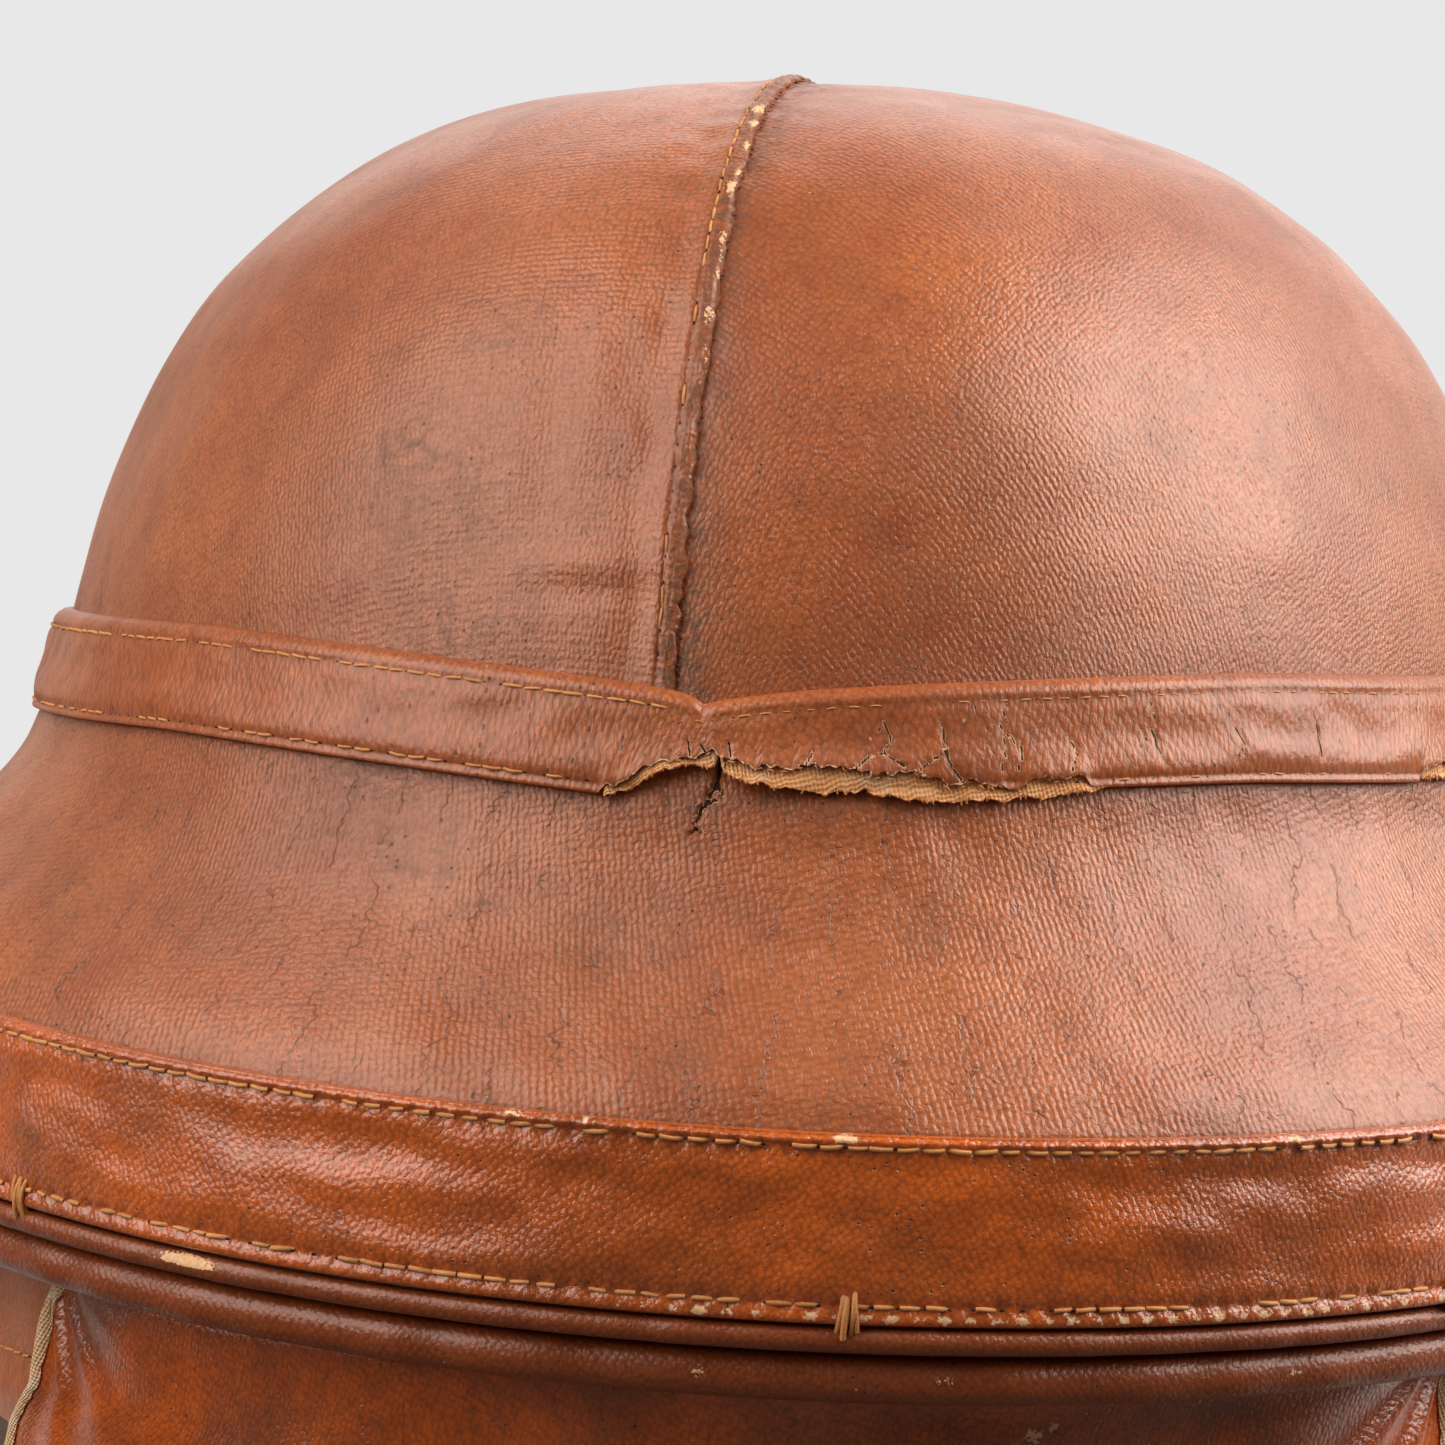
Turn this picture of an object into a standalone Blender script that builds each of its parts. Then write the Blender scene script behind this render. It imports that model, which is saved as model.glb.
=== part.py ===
"""Padded flying helmet of about 1912: a cork crown and brim under brown leathercloth, with a neck
curtain, ear flaps that fold and a chin strap with a pronged buckle.

Metres, +Z up. The helmet faces -Y, so its back is +Y and the wearer's left is +X. Height zero is
the lower edge of the sweatband, and the origin is the centre of the head opening.
"""

import math

import bmesh
import bpy
from mathutils import Vector

# Clearances
LAYER_GAP = 0.0003
HANG_GAP = 0.0005
OVERRUN = 0.002
MERGE_DISTANCE = 0.000003

# Crown, over its cover, from the top edge of the hat band upwards
CROWN_HALF_WIDTH = 0.1005
CROWN_HALF_LENGTH = 0.120
CROWN_HEIGHT = 0.0758
CROWN_ROUNDNESS = 2.8
CROWN_TOP_BACK = 0.002
WIDEST_DROP = 0.060
COVER_THICKNESS = 0.0012
CORK_THICKNESS = 0.008
CORK_BOTTOM_Z = 0.002

# Lap of the left half of the cover over the right half, front to back over the crown
LAP_WIDTH = 0.0036
LAP_ROOT = 0.0015
LAP_SINK = 0.0010

# Hat band
BAND_TOP_Z = 0.048
BAND_HEIGHT = 0.0136
BAND_TOP_STAND = 0.0027
BAND_BOTTOM_STAND = 0.0032
BAND_DIP = 0.0047
BAND_DIP_ANGLE = math.radians(42)
BAND_DIP_POWER = 1.3
COVER_TUCK = 0.008

# Brim, its cover and its hem
BRIM_START_STAND = 0.0019
BRIM_REACH = 0.0296
BRIM_FALL = 0.0423
BRIM_TILT_SHARE = 0.079
BRIM_LEAN_SHARE = 0.030
BRIM_OUT_SHARES = (0.0, 0.10, 0.32, 0.62, 0.88, 1.0)
BRIM_FALL_SHARES = (0.0, 0.20, 0.45, 0.68, 0.87, 1.0)
HEM_HEIGHT = 0.0225
HEM_THICKNESS = 0.0016
HEM_PUFF = 0.0008
HEM_ROLL = 0.0016
BINDING_HEIGHT = 0.0031
BINDING_WIDTH = 0.0030
EDGE_ROLL_HEIGHT = 0.0059
EDGE_ROLL_WIDTH = 0.0050
EDGE_ROLL_INSET = 0.0046
EDGE_ROLL_START = math.radians(110)
EDGE_ROLL_END = math.radians(-160)
FACING_THICKNESS = 0.0012

# Head fitting
HEAD_FITTING_DEPTH = 0.0215
SWEATBAND_THICKNESS = 0.0015
SWEATBAND_HEIGHT = 0.032
HEAD_PAD_BOTTOM_Z = 0.0006
HEAD_PAD_TOP_Z = 0.0365
LINING_THICKNESS = 0.0008
CROWN_PAD_RADIUS_SHARE = 0.448
CROWN_PAD_THICKNESS = 0.012
CROWN_PAD_EDGE = 0.003

# Neck curtain and the side yokes beside it, hung under the brim
PANEL_OUT = 0.013
CURTAIN_THICKNESS = 0.0018
CURTAIN_BOTTOM_Z = -0.105
CURTAIN_CORNER_LIFT = 0.016
CURTAIN_DRAW_IN = 0.011
CURTAIN_FOLD = 0.0038
CURTAIN_FOLDS = 5
CURTAIN_DRAW_POWER = 1.5
CURTAIN_CORNER_POWER = 4
SEAM_ANGLE_TOP = math.radians(44)
SEAM_ANGLE_MIDDLE = math.radians(55)
SEAM_ANGLE_BOTTOM = math.radians(58)
YOKE_BOTTOM_Z = -0.050
YOKE_FRONT_ANGLE = math.radians(120)
PANEL_LINING_THICKNESS = 0.0009

# Ear flaps
FLAP_CENTRE_Y = -0.008
FLAP_WIDTH = 0.074
FLAP_HEIGHT = 0.062
FLAP_THICKNESS = 0.0022
FLAP_WIDTH_SHARES = (1.0, 0.98, 0.90, 0.76, 0.60, 0.50, 0.42)
FLAP_DOWN_SHARES = (0.0, 0.20, 0.42, 0.64, 0.83, 0.95, 1.0)

# Chin strap in two parts
STRAP_WIDTH = 0.018
STRAP_THICKNESS = 0.002
ANCHOR_HEIGHT = 0.016
CHIN_STRAP_LENGTH = 0.140
CHIN_STRAP_POINT = 0.011
PRONG_HOLE_RADIUS = 0.0014
PRONG_HOLE_PITCH = 0.012
PRONG_HOLE_START = 0.028
PRONG_HOLES = 6
BUCKLE_STRAP_LENGTH = 0.045
STRAP_RETURN = 0.015
KEEPER_HEIGHT = 0.008
KEEPER_THICKNESS = 0.0012
KEEPER_DROP = 0.013
KEEPER_PLAY = 0.0004

# Buckle
BUCKLE_WIRE = 0.003
BUCKLE_LENGTH = 0.017
BUCKLE_SIDE_PLAY = 0.001
BUCKLE_CORNER = 0.003
PRONG_WIRE = 0.0022
PRONG_TIP = 0.0018
PRONG_HOOK = math.radians(205)
PRONG_SLOT_PLAY = 0.0006
PRONG_SLOT_ABOVE = 0.009

# How finely the curves are cut
AROUND = 48
DOME_ROWS = 8
ROLL_POINTS = 6
PANEL_COLUMNS = 32
YOKE_ROWS = 2
CURTAIN_ROWS = 4
YOKE_COLUMNS = 8
FLAP_COLUMNS = 8
ROUND_POINTS = 8

# Worked out from the sizes above
DOME_CENTRE_Z = BAND_TOP_Z - WIDEST_DROP
DOME_RISE = CROWN_HEIGHT + WIDEST_DROP
BAND_LEVEL_SHARE = (1 - (WIDEST_DROP / DOME_RISE) ** CROWN_ROUNDNESS) ** (1 / CROWN_ROUNDNESS)
DOME_HALF_WIDTH = CROWN_HALF_WIDTH / BAND_LEVEL_SHARE
DOME_HALF_LENGTH = CROWN_HALF_LENGTH / BAND_LEVEL_SHARE
COVER_JOIN_Z = BAND_TOP_Z - COVER_TUCK
CORK_OUTSIDE = COVER_THICKNESS + LAYER_GAP
CORK_INSIDE = CORK_OUTSIDE + CORK_THICKNESS
LINING_OUTSIDE = CORK_INSIDE + LAYER_GAP
LINING_INSIDE = LINING_OUTSIDE + LINING_THICKNESS
CROWN_PAD_RADIUS = CROWN_HALF_WIDTH * CROWN_PAD_RADIUS_SHARE
HEM_INSIDE = BRIM_REACH + LAYER_GAP
HEM_OUTSIDE = HEM_INSIDE + HEM_THICKNESS
CURTAIN_LINING_OUT = PANEL_OUT - CURTAIN_THICKNESS - LAYER_GAP
HINGE_X = CROWN_HALF_WIDTH + PANEL_OUT
HINGE_Z = YOKE_BOTTOM_Z - LAYER_GAP
FLAP_TIP_Z = HINGE_Z - FLAP_HEIGHT
STRAP_X = HINGE_X + LAYER_GAP + STRAP_THICKNESS / 2
STRAP_AXIS_Z = FLAP_TIP_Z - LAYER_GAP - STRAP_THICKNESS / 2
BAR_LOOP = BUCKLE_WIRE / 2 + LAYER_GAP
BAR_X = STRAP_X - STRAP_THICKNESS / 2 - BAR_LOOP
BAR_Z = STRAP_AXIS_Z - BUCKLE_STRAP_LENGTH
PRONG_OUT = BUCKLE_WIRE / 2 + LAYER_GAP + PRONG_WIRE / 2


# Materials

def material(name, colour, roughness, metallic=0.0):
    """A plain Principled material in the piece's own colour."""
    made = bpy.data.materials.new(name)
    made.use_nodes = True
    shader = made.node_tree.nodes["Principled BSDF"]
    shader.inputs["Base Color"].default_value = (*colour, 1.0)
    shader.inputs["Roughness"].default_value = roughness
    shader.inputs["Metallic"].default_value = metallic
    return made


LEATHERCLOTH = ((0.43, 0.12, 0.05), 0.42)
GLOSSY_CLOTH = ((0.32, 0.07, 0.02), 0.30)
CORK = ((0.42, 0.27, 0.15), 0.90)
FELT = ((0.36, 0.32, 0.27), 0.95)
SATEEN = ((0.72, 0.62, 0.46), 0.75)
HIDE = ((0.38, 0.19, 0.09), 0.50)
BRASS = ((0.62, 0.47, 0.24), 0.35, 1.0)


# Mesh helpers

def place(name, mesh, finish, smooth_angle=math.radians(40)):
    """Gives a finished bmesh to a new object with its own material."""
    bmesh.ops.remove_doubles(mesh, verts=mesh.verts, dist=MERGE_DISTANCE)
    bmesh.ops.recalc_face_normals(mesh, faces=mesh.faces)
    data = bpy.data.meshes.new(name)
    mesh.to_mesh(data)
    mesh.free()
    data.shade_smooth()
    data.set_sharp_from_angle(angle=smooth_angle)
    made = bpy.data.objects.new(name, data)
    made.data.materials.append(material(name + "_finish", *finish))
    bpy.context.scene.collection.objects.link(made)
    return made


def loop_solid(name, loops, finish, closed=True):
    """Skins a row of closed outlines into one solid, a ring when closed and capped when not."""
    mesh = bmesh.new()
    rows = [[mesh.verts.new(point) for point in loop] for loop in loops]
    pairs = list(zip(rows, rows[1:]))
    if closed:
        pairs.append((rows[-1], rows[0]))
    for here, there in pairs:
        for i in range(len(here)):
            j = (i + 1) % len(here)
            mesh.faces.new((here[i], here[j], there[j], there[i]))
    if not closed:
        mesh.faces.new(rows[0][::-1])
        mesh.faces.new(rows[-1])
    return place(name, mesh, finish)


def sheet_solid(name, outer, inner, finish, closed=False):
    """Makes a closed sheet between two grids of points of the same size."""
    mesh = bmesh.new()
    front = [[mesh.verts.new(point) for point in row] for row in outer]
    back = [[mesh.verts.new(point) for point in row] for row in inner]
    columns = len(outer[0])
    steps = [(c, (c + 1) % columns) for c in range(columns if closed else columns - 1)]
    for side in (front, back):
        for low, high in zip(side, side[1:]):
            for c, d in steps:
                mesh.faces.new((low[c], low[d], high[d], high[c]))
    for c, d in steps:
        mesh.faces.new((front[0][c], front[0][d], back[0][d], back[0][c]))
        mesh.faces.new((front[-1][c], front[-1][d], back[-1][d], back[-1][c]))
    if not closed:
        for c in (0, -1):
            for r in range(len(outer) - 1):
                mesh.faces.new((front[r][c], front[r + 1][c], back[r + 1][c], back[r][c]))
    return place(name, mesh, finish)


def extruded(name, outline, start, end, finish, axis="Y"):
    """Extrudes a closed outline along X or Y; its points are (x, z) or (y, z)."""
    def at(point, along):
        across, z = point
        return (along, across, z) if axis == "X" else (across, along, z)

    loops = [[at(point, along) for point in outline] for along in (start, end)]
    return loop_solid(name, loops, finish, closed=False)


def guide(made):
    """Marks an object as a shaping tool that isn't part of the helmet."""
    made.hide_render = True
    made.display_type = "WIRE"
    return made


def boolean(target, tool, operation):
    """Adds or cuts another object with an exact Boolean."""
    modifier = target.modifiers.new(operation.title(), "BOOLEAN")
    modifier.operation = operation
    modifier.solver = "EXACT"
    modifier.object = guide(tool)


def merge(name, pieces):
    """Joins separate shaping tools into one mesh."""
    mesh = bmesh.new()
    for piece in pieces:
        mesh.from_mesh(piece.data)
        bpy.data.objects.remove(piece)
    return place(name, mesh, CORK)


def mix(start, end, share):
    return start + (end - start) * share


def offset_path(path, depth):
    """Moves an open path sideways by a depth, keeping the depth square to every stretch of it."""
    normals = []
    for (a, b), (c, d) in zip(path, path[1:]):
        length = math.hypot(c - a, d - b)
        normals.append(((d - b) / length, -(c - a) / length))
    moved = []
    for i, (across, z) in enumerate(path):
        before = normals[max(i - 1, 0)]
        after = normals[min(i, len(normals) - 1)]
        both = (before[0] + after[0], before[1] + after[1])
        stretch = 2 * depth / (both[0] ** 2 + both[1] ** 2)
        moved.append((across + both[0] * stretch, z + both[1] * stretch))
    return moved


def height_on(path, across):
    """The height of a path where it is this far out."""
    for (a, z_a), (b, z_b) in zip(path, path[1:]):
        if a <= across <= b:
            return mix(z_a, z_b, (across - a) / (b - a))
    return path[-1][1] if across > path[-1][0] else path[0][1]


# The shape that the crown's layers share

def angle_at(column):
    """The direction of a column of points, from the wearer's left towards the back."""
    return 2 * math.pi * column / AROUND


def dome_row(row, inward):
    """The width share and the height of one row of points on a layer of the dome."""
    climb = math.pi / 2 * row / DOME_ROWS
    power = 2 / CROWN_ROUNDNESS
    return max(math.cos(climb), 0) ** power, DOME_CENTRE_Z + (DOME_RISE - inward) * math.sin(climb) ** power


def dome_rows(inward, bottom_z):
    """The rows of a layer from a lower edge up to the top of the crown."""
    rows = [dome_row(row, inward) for row in range(DOME_ROWS + 1)]
    above = [row for row in rows if row[1] > bottom_z + LAYER_GAP]
    return [(dome_share(inward, bottom_z), bottom_z)] + above[:-1] + [(0.0, rows[-1][1])]


def dome_share(inward, z):
    """How wide a layer is at a height, as a share of its widest."""
    rows = [dome_row(row, inward) for row in range(DOME_ROWS + 1)]
    for (share_a, z_a), (share_b, z_b) in zip(rows, rows[1:]):
        if z_a <= z <= z_b:
            return mix(share_a, share_b, (z - z_a) / (z_b - z_a))
    return rows[0][0]


def dome_out(angle, inward, z):
    """How far a layer stands outside the ellipse at the hat band's top edge."""
    share = dome_share(inward, z)
    side = (DOME_HALF_WIDTH - inward) * share - CROWN_HALF_WIDTH
    back = (DOME_HALF_LENGTH - inward) * share - CROWN_HALF_LENGTH
    return side * math.cos(angle) ** 2 + back * math.sin(angle) ** 2


def dome_point(angle, inward, share, z):
    lean = CROWN_TOP_BACK * max(z - BAND_TOP_Z, 0) / CROWN_HEIGHT
    x = (DOME_HALF_WIDTH - inward) * share * math.cos(angle)
    y = (DOME_HALF_LENGTH - inward) * share * math.sin(angle)
    return Vector((x, y + lean, z))


def ring_point(angle, out, z):
    """A point this far outside the crown's ellipse, at a height."""
    x = (CROWN_HALF_WIDTH + out) * math.cos(angle)
    y = (CROWN_HALF_LENGTH + out) * math.sin(angle)
    return Vector((x, y, z))


def dome_grid(inward, bottom_z):
    return [
        [dome_point(angle_at(column), inward, share, z) for column in range(AROUND)]
        for share, z in dome_rows(inward, bottom_z)
    ]


def dome_layer(name, outside, inside, bottom_z, finish):
    """A whole layer of the crown, all the way round."""
    grids = [dome_grid(inward, bottom_z) for inward in (outside, inside)]
    return sheet_solid(name, *grids, finish, closed=True)


# Lines that the brim's pieces share

def back_dip(angle):
    """How far the hat band dips to the join at the back."""
    from_back = abs(angle - math.pi / 2)
    return BAND_DIP * max(1 - from_back / BAND_DIP_ANGLE, 0) ** BAND_DIP_POWER


def band_bottom_z(angle):
    return BAND_TOP_Z - BAND_HEIGHT - back_dip(angle)


def hem_top_z(angle):
    """The hem's top edge, lower at the back and, where the brim has sagged, on the right."""
    edge = ring_point(angle, HEM_OUTSIDE, 0)
    return BAND_TOP_Z - BRIM_FALL - BRIM_TILT_SHARE * edge.y + BRIM_LEAN_SHARE * edge.x


def hem_bottom_z(angle):
    return hem_top_z(angle) - HEM_HEIGHT


def brim_path(angle):
    """The outside of the brim's cover, from behind the hat band to behind the hem's lower edge."""
    top_z = COVER_JOIN_Z - LAYER_GAP
    start_z = band_bottom_z(angle)
    start = dome_out(angle, -BRIM_START_STAND, start_z)
    end_z = hem_top_z(angle)
    path = [(dome_out(angle, 0, top_z), top_z)]
    for out_share, fall_share in zip(BRIM_OUT_SHARES, BRIM_FALL_SHARES):
        path.append((mix(start, BRIM_REACH, out_share), mix(start_z, end_z, fall_share)))
    path.append((BRIM_REACH, hem_bottom_z(angle) + COVER_THICKNESS))
    return path


def core_path(angle):
    """The outside of the brim's core, one cover thickness and a gap inside the cover."""
    return offset_path(brim_path(angle), COVER_THICKNESS + LAYER_GAP)[1:]


def core_foot(angle):
    """The inner lower corner of the brim's core, against the cork shell."""
    return (dome_out(angle, CORK_OUTSIDE - LAYER_GAP, CORK_BOTTOM_Z), CORK_BOTTOM_Z)


def facing_top(angle):
    """The upper side of the cloth that faces the underside of the brim."""
    foot = core_foot(angle)
    corner = core_path(angle)[-1]
    shell_edge = dome_out(angle, CORK_INSIDE, CORK_BOTTOM_Z)
    turn = roll_centre(angle)[0] - EDGE_ROLL_WIDTH / 4
    turn_z = height_on([foot, corner], turn)
    return [
        (shell_edge, CORK_BOTTOM_Z - LAYER_GAP),
        (foot[0], foot[1] - HANG_GAP),
        (turn, turn_z - HANG_GAP - FACING_THICKNESS / 2),
    ]


def roll_centre(angle):
    drop = LAYER_GAP + BINDING_HEIGHT + LAYER_GAP + EDGE_ROLL_HEIGHT / 2
    return (HEM_OUTSIDE - EDGE_ROLL_INSET, hem_bottom_z(angle) - drop)


def facing_underside(angle):
    return offset_path(facing_top(angle), FACING_THICKNESS)


def under_brim_z(angle, out):
    """Where a panel that hangs under the brim meets its facing."""
    return height_on(facing_underside(angle), out) - HANG_GAP


# Crown pieces

def crown_cover():
    """Both halves of the crown's cover, with the left one lapped over the right one."""
    reach = DOME_HALF_WIDTH + OVERRUN
    joint = (LAP_WIDTH - LAYER_GAP / 2, LAP_WIDTH + LAYER_GAP / 2)
    right = dome_layer("crown_cover_right", 0, COVER_THICKNESS, COVER_JOIN_Z, LEATHERCLOTH)
    boolean(right, crown_block("left_side_guide", joint[0], reach), "DIFFERENCE")
    left = dome_layer("crown_cover_left", 0, COVER_THICKNESS, COVER_JOIN_Z, LEATHERCLOTH)
    boolean(left, crown_block("right_side_guide", -reach, joint[1]), "DIFFERENCE")
    boolean(left, lap_strip(), "UNION")


def crown_block(name, start_x, end_x):
    """A block over the whole crown between two widths."""
    back = DOME_HALF_LENGTH + OVERRUN
    top_z = BAND_TOP_Z + CROWN_HEIGHT + OVERRUN
    outline = ((-back, 0), (back, 0), (back, top_z), (-back, top_z))
    return extruded(name, outline, start_x, end_x, LEATHERCLOTH, axis="X")


def lap_strip():
    """The lap's Z-shaped section, swept over the crown from the back of the hat band to its front."""
    path = []
    beside = (LAP_WIDTH + 2 * LAP_ROOT) / CROWN_HALF_WIDTH
    for angle, dip in ((math.pi / 2, back_dip(math.pi / 2 - beside)), (-math.pi / 2, 0)):
        rows = dome_rows(0, BAND_TOP_Z - dip + LAYER_GAP)
        side = [dome_point(angle, 0, share, z) for share, z in rows]
        path += side if angle > 0 else side[-2::-1]
    path = [(point.y, point.z) for point in path]
    root = LAP_WIDTH + LAYER_GAP
    section = (
        (0, LAYER_GAP),
        (0, LAYER_GAP + COVER_THICKNESS),
        (root + LAP_ROOT, LAYER_GAP + COVER_THICKNESS),
        (root + LAP_ROOT, -LAP_SINK),
        (root, -LAP_SINK),
        (root, LAYER_GAP),
    )
    lines = [[(x, y, z) for y, z in offset_path(path, out)] for x, out in section]
    return loop_solid("lap_guide", list(zip(*lines)), LEATHERCLOTH, closed=False)


def hat_band():
    """The band round the foot of the crown, dipping to its join at the back."""
    loops = []
    for column in range(AROUND):
        angle = angle_at(column)
        top_z = BAND_TOP_Z - back_dip(angle)
        bottom_z = band_bottom_z(angle)
        brim_start = dome_out(angle, -BRIM_START_STAND, bottom_z)
        profile = (
            (dome_out(angle, -LAYER_GAP, top_z), top_z),
            (dome_out(angle, -BAND_TOP_STAND, top_z), top_z),
            (dome_out(angle, -BAND_BOTTOM_STAND, bottom_z), bottom_z),
            (brim_start + LAYER_GAP, bottom_z),
            (dome_out(angle, -2 * LAYER_GAP, COVER_JOIN_Z), COVER_JOIN_Z),
        )
        loops.append([ring_point(angle, out, z) for out, z in profile])
    loop_solid("hat_band", loops, LEATHERCLOTH)


# Brim pieces

def brim_ring(name, profile_at, finish):
    loops = []
    for column in range(AROUND):
        angle = angle_at(column)
        loops.append([ring_point(angle, out, z) for out, z in profile_at(angle)])
    loop_solid(name, loops, finish)


def brim_core_profile(angle):
    outside = core_path(angle)
    row_z = dome_row(1, CORK_OUTSIDE)[1]
    against_cork = [
        (dome_out(angle, CORK_OUTSIDE - LAYER_GAP, z), z) for z in (row_z, outside[0][1])
    ]
    return outside + [core_foot(angle)] + against_cork


def brim_cover_profile(angle):
    outside = brim_path(angle)
    return outside + offset_path(outside, COVER_THICKNESS)[::-1]


def hem_profile(angle):
    """The hem's strip, with the rolled top edge that its upper stitching pulls up."""
    top = hem_top_z(angle)
    bottom = hem_bottom_z(angle)
    return (
        (HEM_INSIDE, top),
        (HEM_OUTSIDE, top),
        (HEM_OUTSIDE + HEM_PUFF, top - HEM_ROLL),
        (HEM_OUTSIDE, top - 2 * HEM_ROLL),
        (HEM_OUTSIDE + HEM_PUFF, mix(top, bottom, 0.5)),
        (HEM_OUTSIDE, bottom),
        (HEM_INSIDE, bottom),
    )


def bead(centre, width, height, start, end):
    """Points round a bead's section, from one direction to another."""
    out, z = centre
    points = []
    for i in range(ROLL_POINTS):
        turn = mix(start, end, i / (ROLL_POINTS - 1))
        points.append((out + width / 2 * math.cos(turn), z + height / 2 * math.sin(turn)))
    return points


def binding_profile(angle):
    drop = LAYER_GAP + BINDING_HEIGHT / 2
    centre = (HEM_OUTSIDE - BINDING_WIDTH / 2, hem_bottom_z(angle) - drop)
    whole_turn = 2 * math.pi
    return bead(centre, BINDING_WIDTH, BINDING_HEIGHT, whole_turn, whole_turn / ROLL_POINTS)


def facing_profile(angle):
    """The facing under the brim, ending in the roll that shows below the hem."""
    centre = roll_centre(angle)
    roll = bead(centre, EDGE_ROLL_WIDTH, EDGE_ROLL_HEIGHT, EDGE_ROLL_START, EDGE_ROLL_END)
    return facing_top(angle) + roll + facing_underside(angle)[::-1]


# Head fitting pieces

def head_ring(name, inner_at, outer_at, bottom_z, top_z, finish):
    loops = []
    row_z = dome_row(1, CORK_INSIDE)[1]
    levels = [bottom_z, row_z, top_z]
    for column in range(AROUND):
        angle = angle_at(column)
        inside = [ring_point(angle, inner_at, z) for z in (bottom_z, top_z)]
        outside = [ring_point(angle, outer_at(angle, z), z) for z in levels]
        loops.append(inside + outside[::-1])
    loop_solid(name, loops, finish)


def head_fitting():
    """Sweatband, the felt pad behind it, the crown's lining and the pad at the top of the head."""
    inside = -HEAD_FITTING_DEPTH
    outside = inside + SWEATBAND_THICKNESS
    head_ring("sweatband", inside, lambda angle, z: outside, 0, SWEATBAND_HEIGHT, HIDE)
    head_ring(
        "headband_pad",
        outside + LAYER_GAP,
        lambda angle, z: dome_out(angle, CORK_INSIDE + LAYER_GAP, z),
        HEAD_PAD_BOTTOM_Z,
        HEAD_PAD_TOP_Z,
        FELT,
    )
    lining_bottom = HEAD_PAD_TOP_Z + LAYER_GAP
    dome_layer("crown_lining", LINING_OUTSIDE, LINING_INSIDE, lining_bottom, SATEEN)
    crown_pad()


def crown_pad():
    """A round pad that fills the top of the crown, flat underneath where the head touches it."""
    inward = LINING_INSIDE + LAYER_GAP
    flat_z = DOME_CENTRE_Z + DOME_RISE - inward - CROWN_PAD_THICKNESS
    rim_share = CROWN_PAD_RADIUS / (DOME_HALF_WIDTH - inward)
    rows = [dome_row(row, inward) for row in range(DOME_ROWS + 1)]
    inside_rim = [row for row in rows if row[0] < rim_share][:-1] + [(0.0, rows[-1][1])]
    wider, narrower = next(pair for pair in zip(rows, rows[1:]) if pair[1][0] < rim_share)
    rim_z = mix(wider[1], narrower[1], (wider[0] - rim_share) / (wider[0] - narrower[0]))
    flat_share = rim_share * (1 - CROWN_PAD_EDGE / CROWN_PAD_RADIUS)
    profile = [(flat_share, flat_z), (rim_share, flat_z + CROWN_PAD_EDGE), (rim_share, rim_z)]
    mesh = bmesh.new()
    underside = []
    previous = None
    for share, z in profile + inside_rim:
        row = []
        for column in range(AROUND):
            row.append(mesh.verts.new(dome_point(angle_at(column), inward, share, z)))
        if previous:
            for c in range(AROUND):
                d = (c + 1) % AROUND
                mesh.faces.new((previous[c], previous[d], row[d], row[c]))
        else:
            underside = row
        previous = row
    mesh.faces.new(underside)
    place("crown_pad", mesh, FELT)


# Hanging panels

def panel_point(from_back, out, z):
    """A point on a hanging panel, its direction measured from the middle of the back."""
    return ring_point(math.pi / 2 - from_back, out, z)


def curtain_edge(row):
    """The direction of the seam between the neck curtain and a side yoke, row by row."""
    if row <= YOKE_ROWS:
        return mix(SEAM_ANGLE_TOP, SEAM_ANGLE_MIDDLE, row / YOKE_ROWS)
    return mix(SEAM_ANGLE_MIDDLE, SEAM_ANGLE_BOTTOM, (row - YOKE_ROWS) / CURTAIN_ROWS)


def panel_z(from_back, row, bottom_z):
    """The height of a row of a panel, from the facing down past the yokes' lower edge."""
    top_z = under_brim_z(math.pi / 2 - from_back, PANEL_OUT)
    if row <= YOKE_ROWS:
        return mix(top_z, YOKE_BOTTOM_Z, row / YOKE_ROWS)
    return mix(YOKE_BOTTOM_Z, bottom_z, (row - YOKE_ROWS) / CURTAIN_ROWS)


def curtain_grid(out):
    """The neck curtain's surface, drawn in towards the nape and hanging in soft folds."""
    grid = []
    last_row = YOKE_ROWS + CURTAIN_ROWS
    for row in range(last_row + 1):
        line = []
        for column in range(PANEL_COLUMNS + 1):
            across = 2 * column / PANEL_COLUMNS - 1
            from_back = across * curtain_edge(row)
            down = row / last_row
            middle = 1 - across ** 2
            fold = CURTAIN_FOLD * math.cos(math.pi * CURTAIN_FOLDS * across) * down * middle
            drawn = CURTAIN_DRAW_IN * down ** CURTAIN_DRAW_POWER * middle
            bottom_z = CURTAIN_BOTTOM_Z + CURTAIN_CORNER_LIFT * across ** CURTAIN_CORNER_POWER
            z = panel_z(from_back, row, bottom_z)
            line.append(panel_point(from_back, out + fold - drawn, z))
        grid.append(line)
    return grid


def yoke_grid(side, out):
    seam_gap = LAYER_GAP / CROWN_HALF_WIDTH
    grid = []
    for row in range(YOKE_ROWS + 1):
        line = []
        for column in range(YOKE_COLUMNS + 1):
            start = curtain_edge(row) + seam_gap
            from_back = side * mix(start, YOKE_FRONT_ANGLE, column / YOKE_COLUMNS)
            z = panel_z(from_back, row, YOKE_BOTTOM_Z)
            line.append(panel_point(from_back, out, z))
        grid.append(line)
    return grid


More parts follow.
